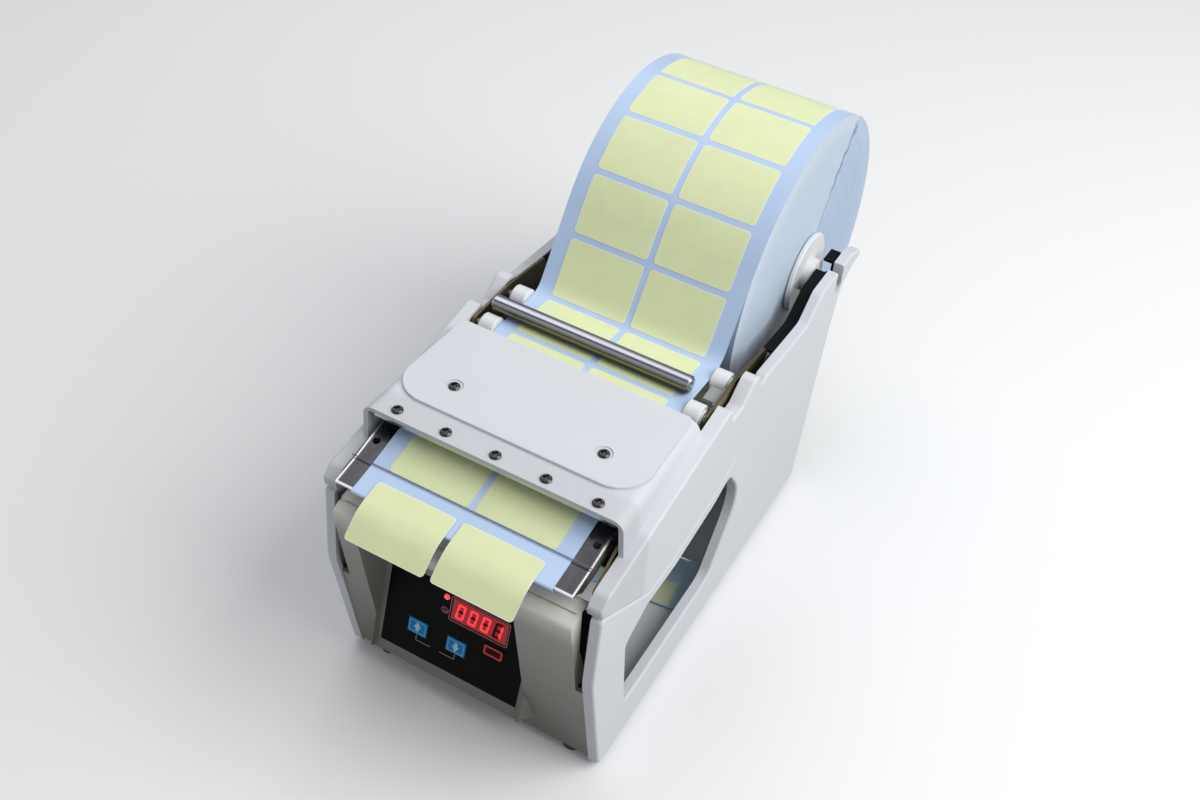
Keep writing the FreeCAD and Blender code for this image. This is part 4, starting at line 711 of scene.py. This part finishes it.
def modify(piece, kind, **settings):
    """Add a modifier and apply it."""
    pick(piece)
    modifier = piece.modifiers.new(kind.lower(), kind)
    for setting, value in settings.items():
        setattr(modifier, setting, value)
    bpy.ops.object.modifier_apply(modifier=modifier.name)
    return piece


def thickened(piece, thick):
    """Give a sheet its thickness, half on each side."""
    return modify(piece, "SOLIDIFY", thickness=thick, offset=0.0, use_rim=True)


def repeated(piece, count, step):
    """Repeat a piece in a row."""
    placing = {"use_relative_offset": False, "use_constant_offset": True}
    return modify(piece, "ARRAY", count=count, constant_offset_displace=step, **placing)


def joined(pieces):
    """One object from several."""
    clear_selection()
    for piece in pieces:
        piece.select_set(True)
    bpy.context.view_layer.objects.active = pieces[0]
    if len(pieces) > 1:
        bpy.ops.object.join()
    return bpy.context.view_layer.objects.active


def moved_to(piece, plane):
    """Take a piece from a working plane, in millimetres, to its place in the frame."""
    piece.matrix_world = plane @ Matrix.Scale(MM, 4)
    apply_places(piece)
    bpy.ops.object.shade_smooth_by_angle(angle=math.radians(35.0))
    return piece


def arc_points(points):
    """Points along a cornered line whose corners are arcs of the third value's radius."""
    line = []
    for index, (across, up, radius) in enumerate(points):
        here = Vector((across, up))
        if radius <= 0.0 or index in (0, len(points) - 1):
            line.append(here)
            continue
        back = (Vector(points[index - 1][:2]) - here).normalized()
        onward = (Vector(points[index + 1][:2]) - here).normalized()
        half = back.angle(onward) / 2.0
        if math.pi / 2.0 - half < 0.002:
            line.append(here)
            continue
        centre = here + (back + onward).normalized() * radius / math.sin(half)
        start = here + back * radius / math.tan(half) - centre
        sweep = start.angle_signed(here + onward * radius / math.tan(half) - centre)
        for step in range(ARC_STEPS + 1):
            turned = Matrix.Rotation(-sweep * step / ARC_STEPS, 2) @ start
            line.append(centre + turned)
    return line


def path_length(line):
    return sum((b - a).length for a, b in zip(line, line[1:]))


def bent_along(piece, line):
    """Bend a flat sheet, whose X is its length, along a line in the web's plane."""
    data = bpy.data.curves.new("web_path", "CURVE")
    data.dimensions = "2D"
    spline = data.splines.new("POLY")
    spline.points.add(len(line) - 1)
    for point, at in zip(spline.points, line):
        point.co = (at.x, at.y, 0.0, 1.0)
    path = bpy.data.objects.new("web_path", data)
    bpy.context.scene.collection.objects.link(path)
    modify(piece, "CURVE", object=path, deform_axis="POS_X")
    bpy.data.objects.remove(path)
    return piece


def rectangle(centre, wide, high, turn=(0.0, 0.0, 0.0)):
    """Flat rectangle, turned about its middle."""
    clear_selection()
    bpy.ops.mesh.primitive_plane_add(size=1.0, location=centre, rotation=turn)
    bpy.context.object.scale = (wide, high, 1.0)
    return apply_places(bpy.context.object)


def flat_sheet(start, end, across_from, across_to, lift):
    """Flat rectangle whose X is its length, Y its height and Z its width."""
    centre = ((start + end) / 2.0, lift, (across_from + across_to) / 2.0)
    return rectangle(centre, end - start, across_to - across_from, (-math.pi / 2.0, 0.0, 0.0))


def cut_along(sheet, start, end, step):
    """Crosswise cuts, so that the sheet can bend."""
    edit(sheet)
    count = max(1, round((end - start) / step))
    for index in range(1, count):
        select_all()
        at = start + (end - start) * index / count
        bpy.ops.mesh.bisect(plane_co=(at, 0.0, 0.0), plane_no=(1.0, 0.0, 0.0))
    leave_edit()
    return sheet


def drifted(sheet, start, degrees):
    """Turn what lies beyond a place on a flat sheet within the sheet's own plane."""
    edit_where(sheet, "VERT", lambda vertex: vertex.co.x > start + 0.01)
    bpy.ops.transform.rotate(
        value=math.radians(degrees), orient_axis="Y", center_override=(start, 0.0, 0.0)
    )
    leave_edit()
    return sheet


def trimmed(sheet, start, end):
    """Cut away what lies outside a stretch of the web."""
    edit(sheet)
    bpy.ops.mesh.bisect(plane_co=(start, 0, 0), plane_no=(1, 0, 0), clear_inner=True)
    select_all()
    bpy.ops.mesh.bisect(plane_co=(end, 0, 0), plane_no=(1, 0, 0), clear_outer=True)
    leave_edit()
    return sheet


def bent_strip(line, across_from, across_to, lift, thick):
    """Strip of sheet bent along a line, with its thickness."""
    end = path_length(line)
    strip = cut_along(flat_sheet(0.0, end, across_from, across_to, lift), 0.0, end, SHEET_CUT)
    return thickened(bent_along(strip, line), thick)


def column_lefts():
    """Left edge of each column of labels, in millimetres."""
    size = sizes()
    left = size.column_offset - size.column_gap / 2.0 - size.label_width
    return (left, left + size.label_width + size.column_gap)


def both_columns(label):
    """Repeat labels of the left column in the right one."""
    left, right = column_lefts()
    return repeated(label, 2, (0.0, 0.0, right - left))


def one_label(start, left, lift, cut_step):
    """One flat label with round corners and a pale cut rim."""
    size = sizes()
    end = start + size.label_length
    label = flat_sheet(start, end, left, left + size.label_width, lift)
    label.data.materials.append(None)
    label.data.materials.append(None)
    edit(label)
    bpy.ops.mesh.bevel(offset=size.label_corner, segments=5, affect="VERTICES")
    select_all()
    label.active_material_index = 1
    bpy.ops.object.material_slot_assign()
    bpy.ops.mesh.inset(thickness=size.label_rim)
    label.active_material_index = 0
    bpy.ops.object.material_slot_assign()
    leave_edit()
    return cut_along(label, start, end, cut_step)


def label_rows(first, start, end, line, lift):
    """Two columns of labels between two places on the web, bent along its line."""
    size = sizes()
    row = math.floor((start - first) / size.label_pitch)
    begin = first + row * size.label_pitch
    count = math.ceil((end - begin) / size.label_pitch)
    label = one_label(begin, column_lefts()[0], lift, ROW_CUT)
    both_columns(repeated(label, count, (size.label_pitch, 0.0, 0.0)))
    bent_along(trimmed(label, start, end), line)
    return moved_to(thickened(label, size.label_thick), WEB_PLANE)


def deck_line():
    """Upper face of the deck and the line over both guides."""
    return arc_points([PEEL_EDGE, DECK_KNEE, DECK_TOP, FRONT_GUIDE_TOP, REAR_GUIDE_TOP])


def web_height(y):
    """Height of the backing's underside on the line over both guides."""
    share = (y - FRONT_GUIDE_TOP[0]) / (REAR_GUIDE_TOP[0] - FRONT_GUIDE_TOP[0])
    return FRONT_GUIDE_TOP[1] + share * (REAR_GUIDE_TOP[1] - FRONT_GUIDE_TOP[1])


def roll_touch():
    """Angle on the roll where the web meets it, in radians."""
    bend = Vector((WEB_BEND_Y, web_height(WEB_BEND_Y)))
    reach = bend - Vector((SPINDLE_Y, SPINDLE_Z))
    radius = sizes().roll_radius + SPAN_LIFT
    return math.atan2(reach.y, reach.x) - math.acos(radius / reach.length)


def round_spindle(radius, angle):
    """Y and Z of a place round the spindle, in millimetres."""
    return (SPINDLE_Y + radius * math.cos(angle), SPINDLE_Z + radius * math.sin(angle))


def span_line():
    """Backing from the rear guide up to where it meets the roll."""
    end = (*round_spindle(sizes().roll_radius + SPAN_LIFT, roll_touch()), 0.0)
    return arc_points([REAR_GUIDE_TOP, (WEB_BEND_Y, web_height(WEB_BEND_Y), WEB_BEND_RADIUS), end])


def roll_line():
    """Once round the roll from where the web meets it, over the top and back."""
    angle = roll_touch()
    turns = [angle - 2.0 * math.pi * step / ROLL_STEPS for step in range(ROLL_STEPS + 1)]
    return [Vector(round_spindle(sizes().roll_radius, turn)) for turn in turns]


# Printing on the control panel


def one_segment(across, segment):
    """One pointed bar of a digit, lying on the display."""
    share_x, share_u, level = SEGMENTS[segment]
    step = (sizes().digit_height - SEGMENT_WIDE) / 2.0
    half_wide = (DIGIT_WIDE - SEGMENT_WIDE) / 2.0
    long = (2.0 * half_wide if level else step) + SEGMENT_WIDE - 2.0 * SEGMENT_GAP
    x = across + share_x * half_wide + share_u * step * SLANT
    turn = 0.0 if level else math.pi / 2.0 - math.atan(SLANT)
    centre = (x, DISPLAY_U + share_u * step, SEGMENT_LIFT)
    bar = rectangle(centre, long, SEGMENT_WIDE, (0.0, 0.0, turn))
    edit(bar)
    bpy.ops.mesh.bevel(offset=SEGMENT_WIDE * 0.42, segments=1, affect="VERTICES")
    select_all()
    bpy.ops.mesh.extrude_region_move(TRANSFORM_OT_translate={"value": (0.0, 0.0, SEGMENT_THICK)})
    leave_edit()
    return bar


def inked(piece):
    """Give a print the thickness of its ink."""
    return thickened(piece, PRINT_LIFT * 1.2)


def printed_bar(x_from, x_to, u_from, u_to):
    """Thin printed line on the control panel."""
    centre = ((x_from + x_to) / 2.0, (u_from + u_to) / 2.0, PRINT_LIFT)
    return inked(rectangle(centre, abs(x_to - x_from) + LINE_WIDE, abs(u_to - u_from) + LINE_WIDE))


def outlined(piece, line):
    """Leave only a printed line along the edge of the flat shape that is being edited."""
    select_all()
    bpy.ops.mesh.inset(thickness=line)
    bpy.ops.mesh.delete(type="ONLY_FACE")
    leave_edit()
    return inked(piece)


def printed_frame(x, u, wide, high, line, corner):
    """Printed outline with round corners."""
    outline = rectangle((x, u, PRINT_LIFT), wide, high)
    edit(outline)
    bpy.ops.mesh.bevel(offset=corner, segments=4, affect="VERTICES")
    return outlined(outline, line)


def flat_disc(sides, radius, at, turn=0.0):
    """Flat shape with equal sides."""
    clear_selection()
    bpy.ops.mesh.primitive_circle_add(
        vertices=sides, radius=radius, fill_type="NGON", location=at, rotation=(0.0, 0.0, turn)
    )
    return apply_places(bpy.context.object)


def key_arrow(across, way):
    """Raised arrow on a key: a triangle on a short stem."""
    lift = KEY_PROUD + PRINT_LIFT
    turn = 0.0 if way > 0 else math.pi
    head = flat_disc(3, ARROW_RADIUS, (across, KEY_U + way * 0.9, lift), turn)
    stem = rectangle((across, KEY_U - way * 1.4, lift), *ARROW_STEM)
    return inked(joined([head, stem]))


def on_key(piece):
    """Lift a print from the panel's face to a key's."""
    piece.location.z = KEY_PROUD
    return apply_places(piece)


def on_console(prints, *settled):
    """Take prints together to the panel's plane and settle them."""
    return settle(moved_to(joined(prints), CONSOLE_PLANE), *settled)


# Pieces


class DISPENSER_OT_frame_finishes(bpy.types.Operator):
    """Gives every piece of the frame its finish"""

    bl_idname = "dispenser.frame_finishes"
    bl_label = "Frame finishes"

    def execute(self, context):
        tint = colours()
        casing = moulded("casing_plastic", tint.casing)
        dress(casing, "left_side_panel right_side_panel rear_cross_member")
        # The hood's lip strip gets painted shade.
        dress(moulded("hood_plastic", tint.casing, lip=LIP_REAR * MM), "hood")
        # The front panel: painted shade over its face and foot, and a painted highlight on its
        # nose.
        dress(moulded("front_plastic", tint.front, nose=NOSE_FOOT * MM), "front_panel")
        dress(passivated("passivated_zinc", tint.gold), "left_frame_plate right_frame_plate")
        black = coated("black_coat", tint.black, 0.6, Specular_IOR_Level=0.10)
        dress(black, "left_bearer_plate right_bearer_plate")
        dress(mirror_steel("dark_mirror_steel", tint.dark_steel), "deck_plate")
        dress(
            brushed("bright_steel", tint.steel, 0.24, (0.04, 1.0, 1.0)),
            "front_guide_shaft rear_guide_shaft drive_shaft pinch_shaft pinch_pivot_rod"
            " motor_shaft frame_spacers motor_bracket pinch_bracket film_clamp_bar",
        )
        dress(painted_reflection_rod("painted_reflection_rod", (0.42, 0.42, 0.47), middle("weight_rod")), "weight_rod")
        dress(brushed("black_oxide", (0.03, 0.03, 0.032), 0.4), "spindle_shaft")
        dress(brushed("screw_steel", (0.085, 0.08, 0.08), 0.2), "film_screws hood_screws")
        dress(film("clear_film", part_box("clear_film")[0].y), "clear_film")
        dress(coated("grey_bracket", (0.30, 0.30, 0.30), 0.45), "web_guide_bracket")
        dress(
            polymer("white_polymer", tint.white),
            "front_left_collar front_right_collar rear_left_collar rear_right_collar left_flange"
            " right_flange spindle_sleeve drive_gear idler_gear motor_pinion shaft_bushes",
        )
        dress(paper("core_board", (0.42, 0.31, 0.20), 0.8), "roll_core")
        rubber = coated("roller_rubber", (0.03, 0.03, 0.032), 0.7)
        dress(rubber, "drive_roller pinch_roller feet")
        # Painted shade: the drive box cover's dark brown stands in for the shade inside the casing.
        dress(coated("dark_casing", (0.10, 0.075, 0.055), 0.55), "drive_box_cover")
        fittings = coated("black_fittings", (0.015, 0.015, 0.015), 0.4)
        dress(fittings, "dc_inlet rocker_bezel power_rocker")
        dress(coated("motor_can", (0.20, 0.20, 0.21), 0.35), "gear_motor")
        dress(banded("sensor_bands", (0.012, 0.012, 0.012), (0.62, 0.58, 0.30)), "label_sensor")
        dress(coated("board_green", (0.02, 0.12, 0.05)), "control_board")
        dress(membrane("membrane_black", (0.0015, 0.0015, 0.002)), "control_overlay")
        dress(glowing("display_filter", (0.30, 0.006, 0.012), 0.55), "display_module")
        dress(membrane("key_blue", tint.key), "up_key down_key")
        dress(membrane("key_dark", (0.05, 0.004, 0.006)), "reset_key")
        dress(lamps("lamp_red", tint.glow, place(0.0, 0.0, LAMP_SPLIT).z), "status_leds")
        dress(glassine("backing_blue", tint.backing), "backing_liner waste_liner")
        return {"FINISHED"}


class DISPENSER_OT_printed_web(bpy.types.Operator):
    """Lays the labels on the deck, the slack span and the roll"""

    bl_idname = "dispenser.printed_web"
    bl_label = "Printed web"

    def execute(self, context):
        size = sizes()
        paper("label_face", colours().label)
        paper("label_cut_rim", colours().label_rim)
        finishes = label_finishes()
        deck = deck_line()
        span = span_line()
        deck_length = path_length(deck)
        span_length = path_length(span)
        first = size.label_first - PEEL_EDGE[0] + DECK_SLOPE_EXTRA
        hidden = HOOD_MIDDLE - PEEL_EDGE[0]
        later = first + size.span_slack
        front = label_rows(first, first - 0.1, hidden, deck, DECK_LABEL_LIFT)
        rear = label_rows(later, hidden, deck_length, deck, DECK_LABEL_LIFT)
        labels = joined([front, rear])
        settle(labels, "deck_label_rows", "machine", "yellow_label", *finishes)
        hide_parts("deck_labels")
        half = size.web_width / 2.0
        strip = bent_strip(span, -half, half, size.web_thick / 2.0, size.web_thick)
        web = moved_to(strip, WEB_PLANE)
        settle(web, "slack_web", None, "blue_liner", made("backing_blue"))
        slack = later - deck_length
        labels = label_rows(slack, 0.0, span_length, span, SPAN_LABEL_LIFT)
        settle(labels, "span_label_rows", None, "yellow_label", *finishes)
        guide_y, guide_z = REAR_GUIDE_TOP[:2]
        rise = round_spindle(size.roll_radius, roll_touch())[1] - guide_z
        top = place(0.0, guide_y, guide_z + rise * SPAN_BLEND)
        for piece in (web, labels):
            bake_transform(piece)
        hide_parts("web_span")
        around = roll_line()
        end = path_length(around) - ROLL_BARE_END
        labels = label_rows(slack - span_length, 0.0, end, around, size.label_thick / 2.0)
        settle(labels, "roll_label_rows", "roll", "yellow_label", *finishes)
        return {"FINISHED"}


class DISPENSER_OT_bearer_rims(bpy.types.Operator):
    """Folds the upper edges of the black bearer plates inwards; their black also paints the shade
    in the gap beside the flanges.
    """

    bl_idname = "dispenser.bearer_rims"
    bl_label = "Bearer rims"

    def execute(self, context):
        strips = []
        for line in RIM_LINES:
            for edges in ((-RIM_OUTER, -RIM_INNER), (RIM_INNER, RIM_OUTER)):
                strips.append(bent_strip(arc_points(line), *edges, 0.0, RIM_THICK))
        rims = moved_to(joined(strips), WEB_PLANE)
        settle(rims, "bearer_rims", "machine", "black_plate", made("black_coat"))
        return {"FINISHED"}


class DISPENSER_OT_ledge(bpy.types.Operator):
    """Runs the front panel's ledge on under the deck"""

    bl_idname = "dispenser.ledge"
    bl_label = "Ledge"

    def execute(self, context):
        strip = bent_strip(arc_points(LEDGE_LINE), -LEDGE_HALF, LEDGE_HALF, 0.0, LEDGE_THICK)
        ledge = moved_to(strip, WEB_PLANE)
        settle(ledge, "ledge_tail", "machine", "front_casing", made("front_plastic"))
        return {"FINISHED"}


class DISPENSER_OT_waste_web(bpy.types.Operator):
    """Lets the waste web drift to one side on its way down, with a label left on its end"""

    bl_idname = "dispenser.waste_web"
    bl_label = "Waste web"

    def execute(self, context):
        size = sizes()
        line = arc_points(WASTE_LINE)
        end = path_length(line)
        half = size.web_width / 2.0
        web = cut_along(flat_sheet(0.0, end, -half, half, 0.0), 0.0, end, SHEET_CUT)
        start = end - size.label_length - WASTE_BARE_END
        label = one_label(start, column_lefts()[1], WASTE_LABEL_LIFT, SHEET_CUT)
        for piece, thick in ((web, size.web_thick), (label, size.label_thick)):
            bent_along(drifted(piece, WASTE_DRIFT_START, WASTE_DRIFT), line)
            moved_to(thickened(piece, thick), WEB_PLANE)
        # Painted light: the waste backing and its label are paler copies of the backing and label
        # colours, lifting the shade they hang in.
        backing = glassine("waste_backing_painted_light", (0.64, 0.82, 1.0))
        settle(web, "waste_web", "machine", "blue_liner", backing)
        face = paper("waste_label_painted_light", (0.98, 1.0, 0.66))
        settle(label, "waste_label", "machine", "yellow_label", face, label_finishes()[1])
        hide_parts("waste_liner")
        return {"FINISHED"}


class DISPENSER_OT_dispensed(bpy.types.Operator):
    """Curls the pair of labels that stands off the peel edge"""

    bl_idname = "dispenser.dispensed"
    bl_label = "Dispensed labels"

    def execute(self, context):
        size = sizes()
        low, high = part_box("dispensed_labels")
        tip = ((low.y - ORIGIN.y) / MM, (low.z - ORIGIN.z) / MM + PEELED_TIP_RISE, 0.0)
        line = arc_points([PEELED_START, PEELED_BEND, tip])
        start = path_length(line) - size.label_length
        label = both_columns(one_label(start, column_lefts()[0], 0.0, SHEET_CUT))
        moved_to(thickened(bent_along(label, line), size.label_thick), WEB_PLANE)
        settle(label, "peeled_labels", "machine", "yellow_label", *label_finishes())
        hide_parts("dispensed_labels")
        return {"FINISHED"}


class DISPENSER_OT_wound_roll(bpy.types.Operator):
    """Winds the roll, with turns that stand slightly proud on both faces"""

    bl_idname = "dispenser.wound_roll"
    bl_label = "Wound roll"

    def execute(self, context):
        half = sizes().web_width / 2.0 * MM
        radius = sizes().roll_radius * MM
        clear_selection()
        bpy.ops.mesh.primitive_cylinder_add(
            vertices=ROLL_STEPS,
            radius=radius,
            depth=2.0 * half,
            end_fill_type="NOTHING",
            location=spindle,
            rotation=(0.0, math.pi / 2.0, 0.0),
        )
        roll = apply_places(bpy.context.object)
        for side in (-1.0, 1.0):
            self.wind_face(roll, side, half, radius)
        edit(roll)
        bpy.ops.mesh.select_mode(type="VERT")
        bpy.ops.mesh.normals_make_consistent(inside=False)
        leave_edit()
        bpy.ops.object.shade_smooth_by_angle(angle=math.radians(40.0))
        for face in roll.data.polygons:
            face.material_index = 0 if (face.center - spindle).yz.length > radius * 0.995 else 1
        edges = roll_face("wound_edges", scaled(colours().backing, 1.12))
        settle(roll, "wound_web", "roll", "blue_liner", made("backing_blue"), edges)
        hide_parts("label_roll")
        return {"FINISHED"}

    def wind_face(self, roll, side, half, radius):
        """Draw one face in from the roll's outer edge to its core, ring by ring."""
        low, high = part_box("roll_core")
        inner = (high.z - low.z) / 2.0
        vertices = roll.data.vertices

        def on_face(edge):
            return min(vertices[index].co.x * side for index in edge.vertices) > half - 1e-5

        edit_where(roll, "EDGE", on_face)
        here = radius
        proud = 0.0
        for turn in range(1, ROLL_TURNS + 1):
            target = radius + (inner - radius) * turn / ROLL_TURNS
            wave = math.sin(turn * 1.7) + 0.6 * math.sin(turn * 3.1 + side)
            step = -wave * TURN_WAVE * MM - TURN_BACK * MM if turn < ROLL_TURNS - 1 else 0.0
            bpy.ops.mesh.extrude_edges_move(
                TRANSFORM_OT_translate={"value": (side * (step - proud), 0.0, 0.0)}
            )
            factor = target / here
            bpy.ops.transform.resize(value=(1.0, factor, factor), center_override=spindle)
            proud = step
            here = target
        leave_edit()


class DISPENSER_OT_display(bpy.types.Operator):
    """Lights the counter's digits and prints the control panel"""

    bl_idname = "dispenser.display"
    bl_label = "Display and print"

    def execute(self, context):
        lit = []
        unlit = []
        for index, digit in enumerate(SHOWN):
            across = DISPLAY_X + (index - 1.5) * sizes().digit_pitch
            for segment in SEGMENTS:
                target = lit if segment in DIGITS[digit] else unlit
                target.append(one_segment(across, segment))
        glow = glowing("segment_glow", colours().glow, 1.1)
        dim = membrane("segment_dim", (0.045, 0.004, 0.006))
        on_console(lit, "lit_digits", "machine", "black_gloss", glow)
        on_console(unlit, "dark_segments", "machine", "black_gloss", dim)
        foot = KEY_FOOT_U - BRACKET_DROP
        bracket = [
            printed_bar(UP_KEY_X, UP_KEY_X, foot, KEY_FOOT_U),
            printed_bar(DOWN_KEY_X, DOWN_KEY_X, foot, KEY_FOOT_U),
            printed_bar(UP_KEY_X, BRACKET_LEFT, foot, foot),
            printed_bar(BRACKET_RIGHT, DOWN_KEY_X, foot, foot),
        ]
        grey = flat_print("grey_ink", (0.30, 0.31, 0.32))
        on_console(bracket, "printed_brackets", "machine", "black_gloss", grey)
        window = (DISPLAY_WIDE + 2.2, DISPLAY_HIGH + 2.2)
        frame_print = printed_frame(DISPLAY_X, DISPLAY_U, *window, 0.45, 1.2)
        ring = flat_disc(32, LAMP_RADIUS + 0.5, (LAMP_X, LAMP_LOW_U, PRINT_LIFT))
        edit(ring)
        frames = [frame_print, outlined(ring, 0.5)]
        rose = flat_print("rose_ink", (0.45, 0.20, 0.20))
        on_console(frames, "printed_frames", "machine", "black_gloss", rose)
        outline = printed_frame(RESET_X, RESET_U, RESET_WIDE - 0.8, RESET_HIGH - 0.8, 1.1, 1.2)
        red = flat_print("red_ink", (0.60, 0.05, 0.05))
        on_console([on_key(outline)], "reset_outline", "reset_key", "red_key", red)
        pale = flat_print("key_mark_ink", (0.45, 0.70, 0.74))
        light_blue = flat_print("key_border_ink", (0.10, 0.40, 0.74))
        for key, across, way in (("up_key", UP_KEY_X, 1.0), ("down_key", DOWN_KEY_X, -1.0)):
            on_console([key_arrow(across, way)], key + "_arrow", key, "blue_key", pale)
            border = printed_frame(across, KEY_U, KEY_WIDE - 1.2, KEY_HIGH - 1.2, 0.8, 0.8)
            on_console([on_key(border)], key + "_border", key, "blue_key", light_blue)
        return {"FINISHED"}


class DISPENSER_OT_studio(bpy.types.Operator):
    """Adds the camera, a pale floor and soft lights"""

    bl_idname = "dispenser.studio"
    bl_label = "Studio"

    def execute(self, context):
        context.scene.view_settings.view_transform = "Standard"
        self.add_camera(context.scene)
        self.add_floor()
        self.add_world(context.scene)
        for light in LIGHTS:
            self.add_light(context.scene, *light)
        return {"FINISHED"}

    def add_camera(self, scene):
        data = bpy.data.cameras.new("photo_camera")
        data.lens = CAMERA_LENS
        data.sensor_width = 36.0
        data.shift_x, data.shift_y = CAMERA_SHIFT
        data.clip_start = 0.01
        camera = bpy.data.objects.new("photo_camera", data)
        scene.collection.objects.link(camera)
        azimuth = math.radians(CAMERA_AZIMUTH)
        elevation = math.radians(CAMERA_ELEVATION)
        level = math.cos(elevation)
        forward = Vector(
            (-math.sin(azimuth) * level, math.cos(azimuth) * level, -math.sin(elevation))
        )
        aim = forward.to_track_quat("-Z", "Y").to_matrix()
        turn = aim @ Matrix.Rotation(math.radians(CAMERA_ROLL), 3, "Z")
        camera.matrix_world = Matrix.Translation(place(*CAMERA_PLACE)) @ turn.to_4x4()
        scene.camera = camera

    def add_floor(self):
        clear_selection()
        bpy.ops.mesh.primitive_plane_add(size=FLOOR_SIZE, location=(0.0, 0.0, 0.0))
        floor = bpy.context.object
        floor.name = "floor"
        finish = Finish("floor_paint", (0.9, 0.9, 0.9), 0.8)
        rays = finish.node("ShaderNodeLightPath").outputs
        seen = Value(finish, rays["Is Camera Ray"])
        mirrored = seen.maths("MAXIMUM", seen, rays["Is Glossy Ray"])
        shown = seen.maths("MAXIMUM", mirrored, rays["Is Transmission Ray"])
        finish.shade(shown, (0.35, 0.35, 0.35), (0.93, 0.93, 0.93))
        floor.data.materials.append(finish.material)

    def add_world(self, scene):
        scene.world = bpy.data.worlds.new("studio")
        nodes = Nodes(scene.world)
        seen = nodes.node("ShaderNodeLightPath").outputs["Is Camera Ray"]
        lighting = {"Color": WORLD_TINT, "Strength": WORLD_STRENGTH}
        light = nodes.node("ShaderNodeBackground", None, lighting).outputs[0]
        white = {"Color": (1.0, 1.0, 1.0, 1.0)}
        backdrop = nodes.node("ShaderNodeBackground", None, white).outputs[0]
        mix = nodes.node("ShaderNodeMixShader", None, {0: seen, 1: light, 2: backdrop})
        nodes.node("ShaderNodeOutputWorld", None, {"Surface": mix.outputs[0]})

    def add_light(self, scene, name, at, power):
        data = bpy.data.lights.new(name, "AREA")
        data.shape = "SQUARE"
        data.size = LIGHT_SIZE
        data.energy = power
        light = bpy.data.objects.new(name, data)
        light.location = at
        aim = Vector(LIGHT_AIM) - Vector(at)
        light.rotation_euler = aim.to_track_quat("-Z", "Y").to_euler()
        scene.collection.objects.link(light)


class DISPENSER_PT_panel(bpy.types.Panel):
    """Sizes, colours and pieces of the dispenser"""

    bl_label = "Label dispenser"
    bl_idname = "DISPENSER_PT_panel"
    bl_space_type = "VIEW_3D"
    bl_region_type = "UI"
    bl_category = "Dispenser"

    def draw(self, context):
        layout = self.layout
        for group in (sizes(), colours()):
            box = layout.box()
            for name in group.__annotations__:
                box.prop(group, name)
        for operator in OPERATORS:
            layout.operator(operator.bl_idname)


OPERATORS = (
    DISPENSER_OT_frame_finishes,
    DISPENSER_OT_printed_web,
    DISPENSER_OT_bearer_rims,
    DISPENSER_OT_ledge,
    DISPENSER_OT_waste_web,
    DISPENSER_OT_dispensed,
    DISPENSER_OT_wound_roll,
    DISPENSER_OT_display,
    DISPENSER_OT_studio,
)
CLASSES = (DispenserSizes, DispenserColours, *OPERATORS, DISPENSER_PT_panel)


def register():
    for entry in CLASSES:
        bpy.utils.register_class(entry)
    bpy.types.Scene.dispenser_sizes = bpy.props.PointerProperty(type=DispenserSizes)
    bpy.types.Scene.dispenser_colours = bpy.props.PointerProperty(type=DispenserColours)


def unregister():
    del bpy.types.Scene.dispenser_colours
    del bpy.types.Scene.dispenser_sizes
    for entry in reversed(CLASSES):
        bpy.utils.unregister_class(entry)


def main():
    register()
    for operator in OPERATORS:
        group, name = operator.bl_idname.split(".")
        getattr(getattr(bpy.ops, group), name)()
    bpy.context.view_layer.update()


if __name__ == "__main__":
    main()
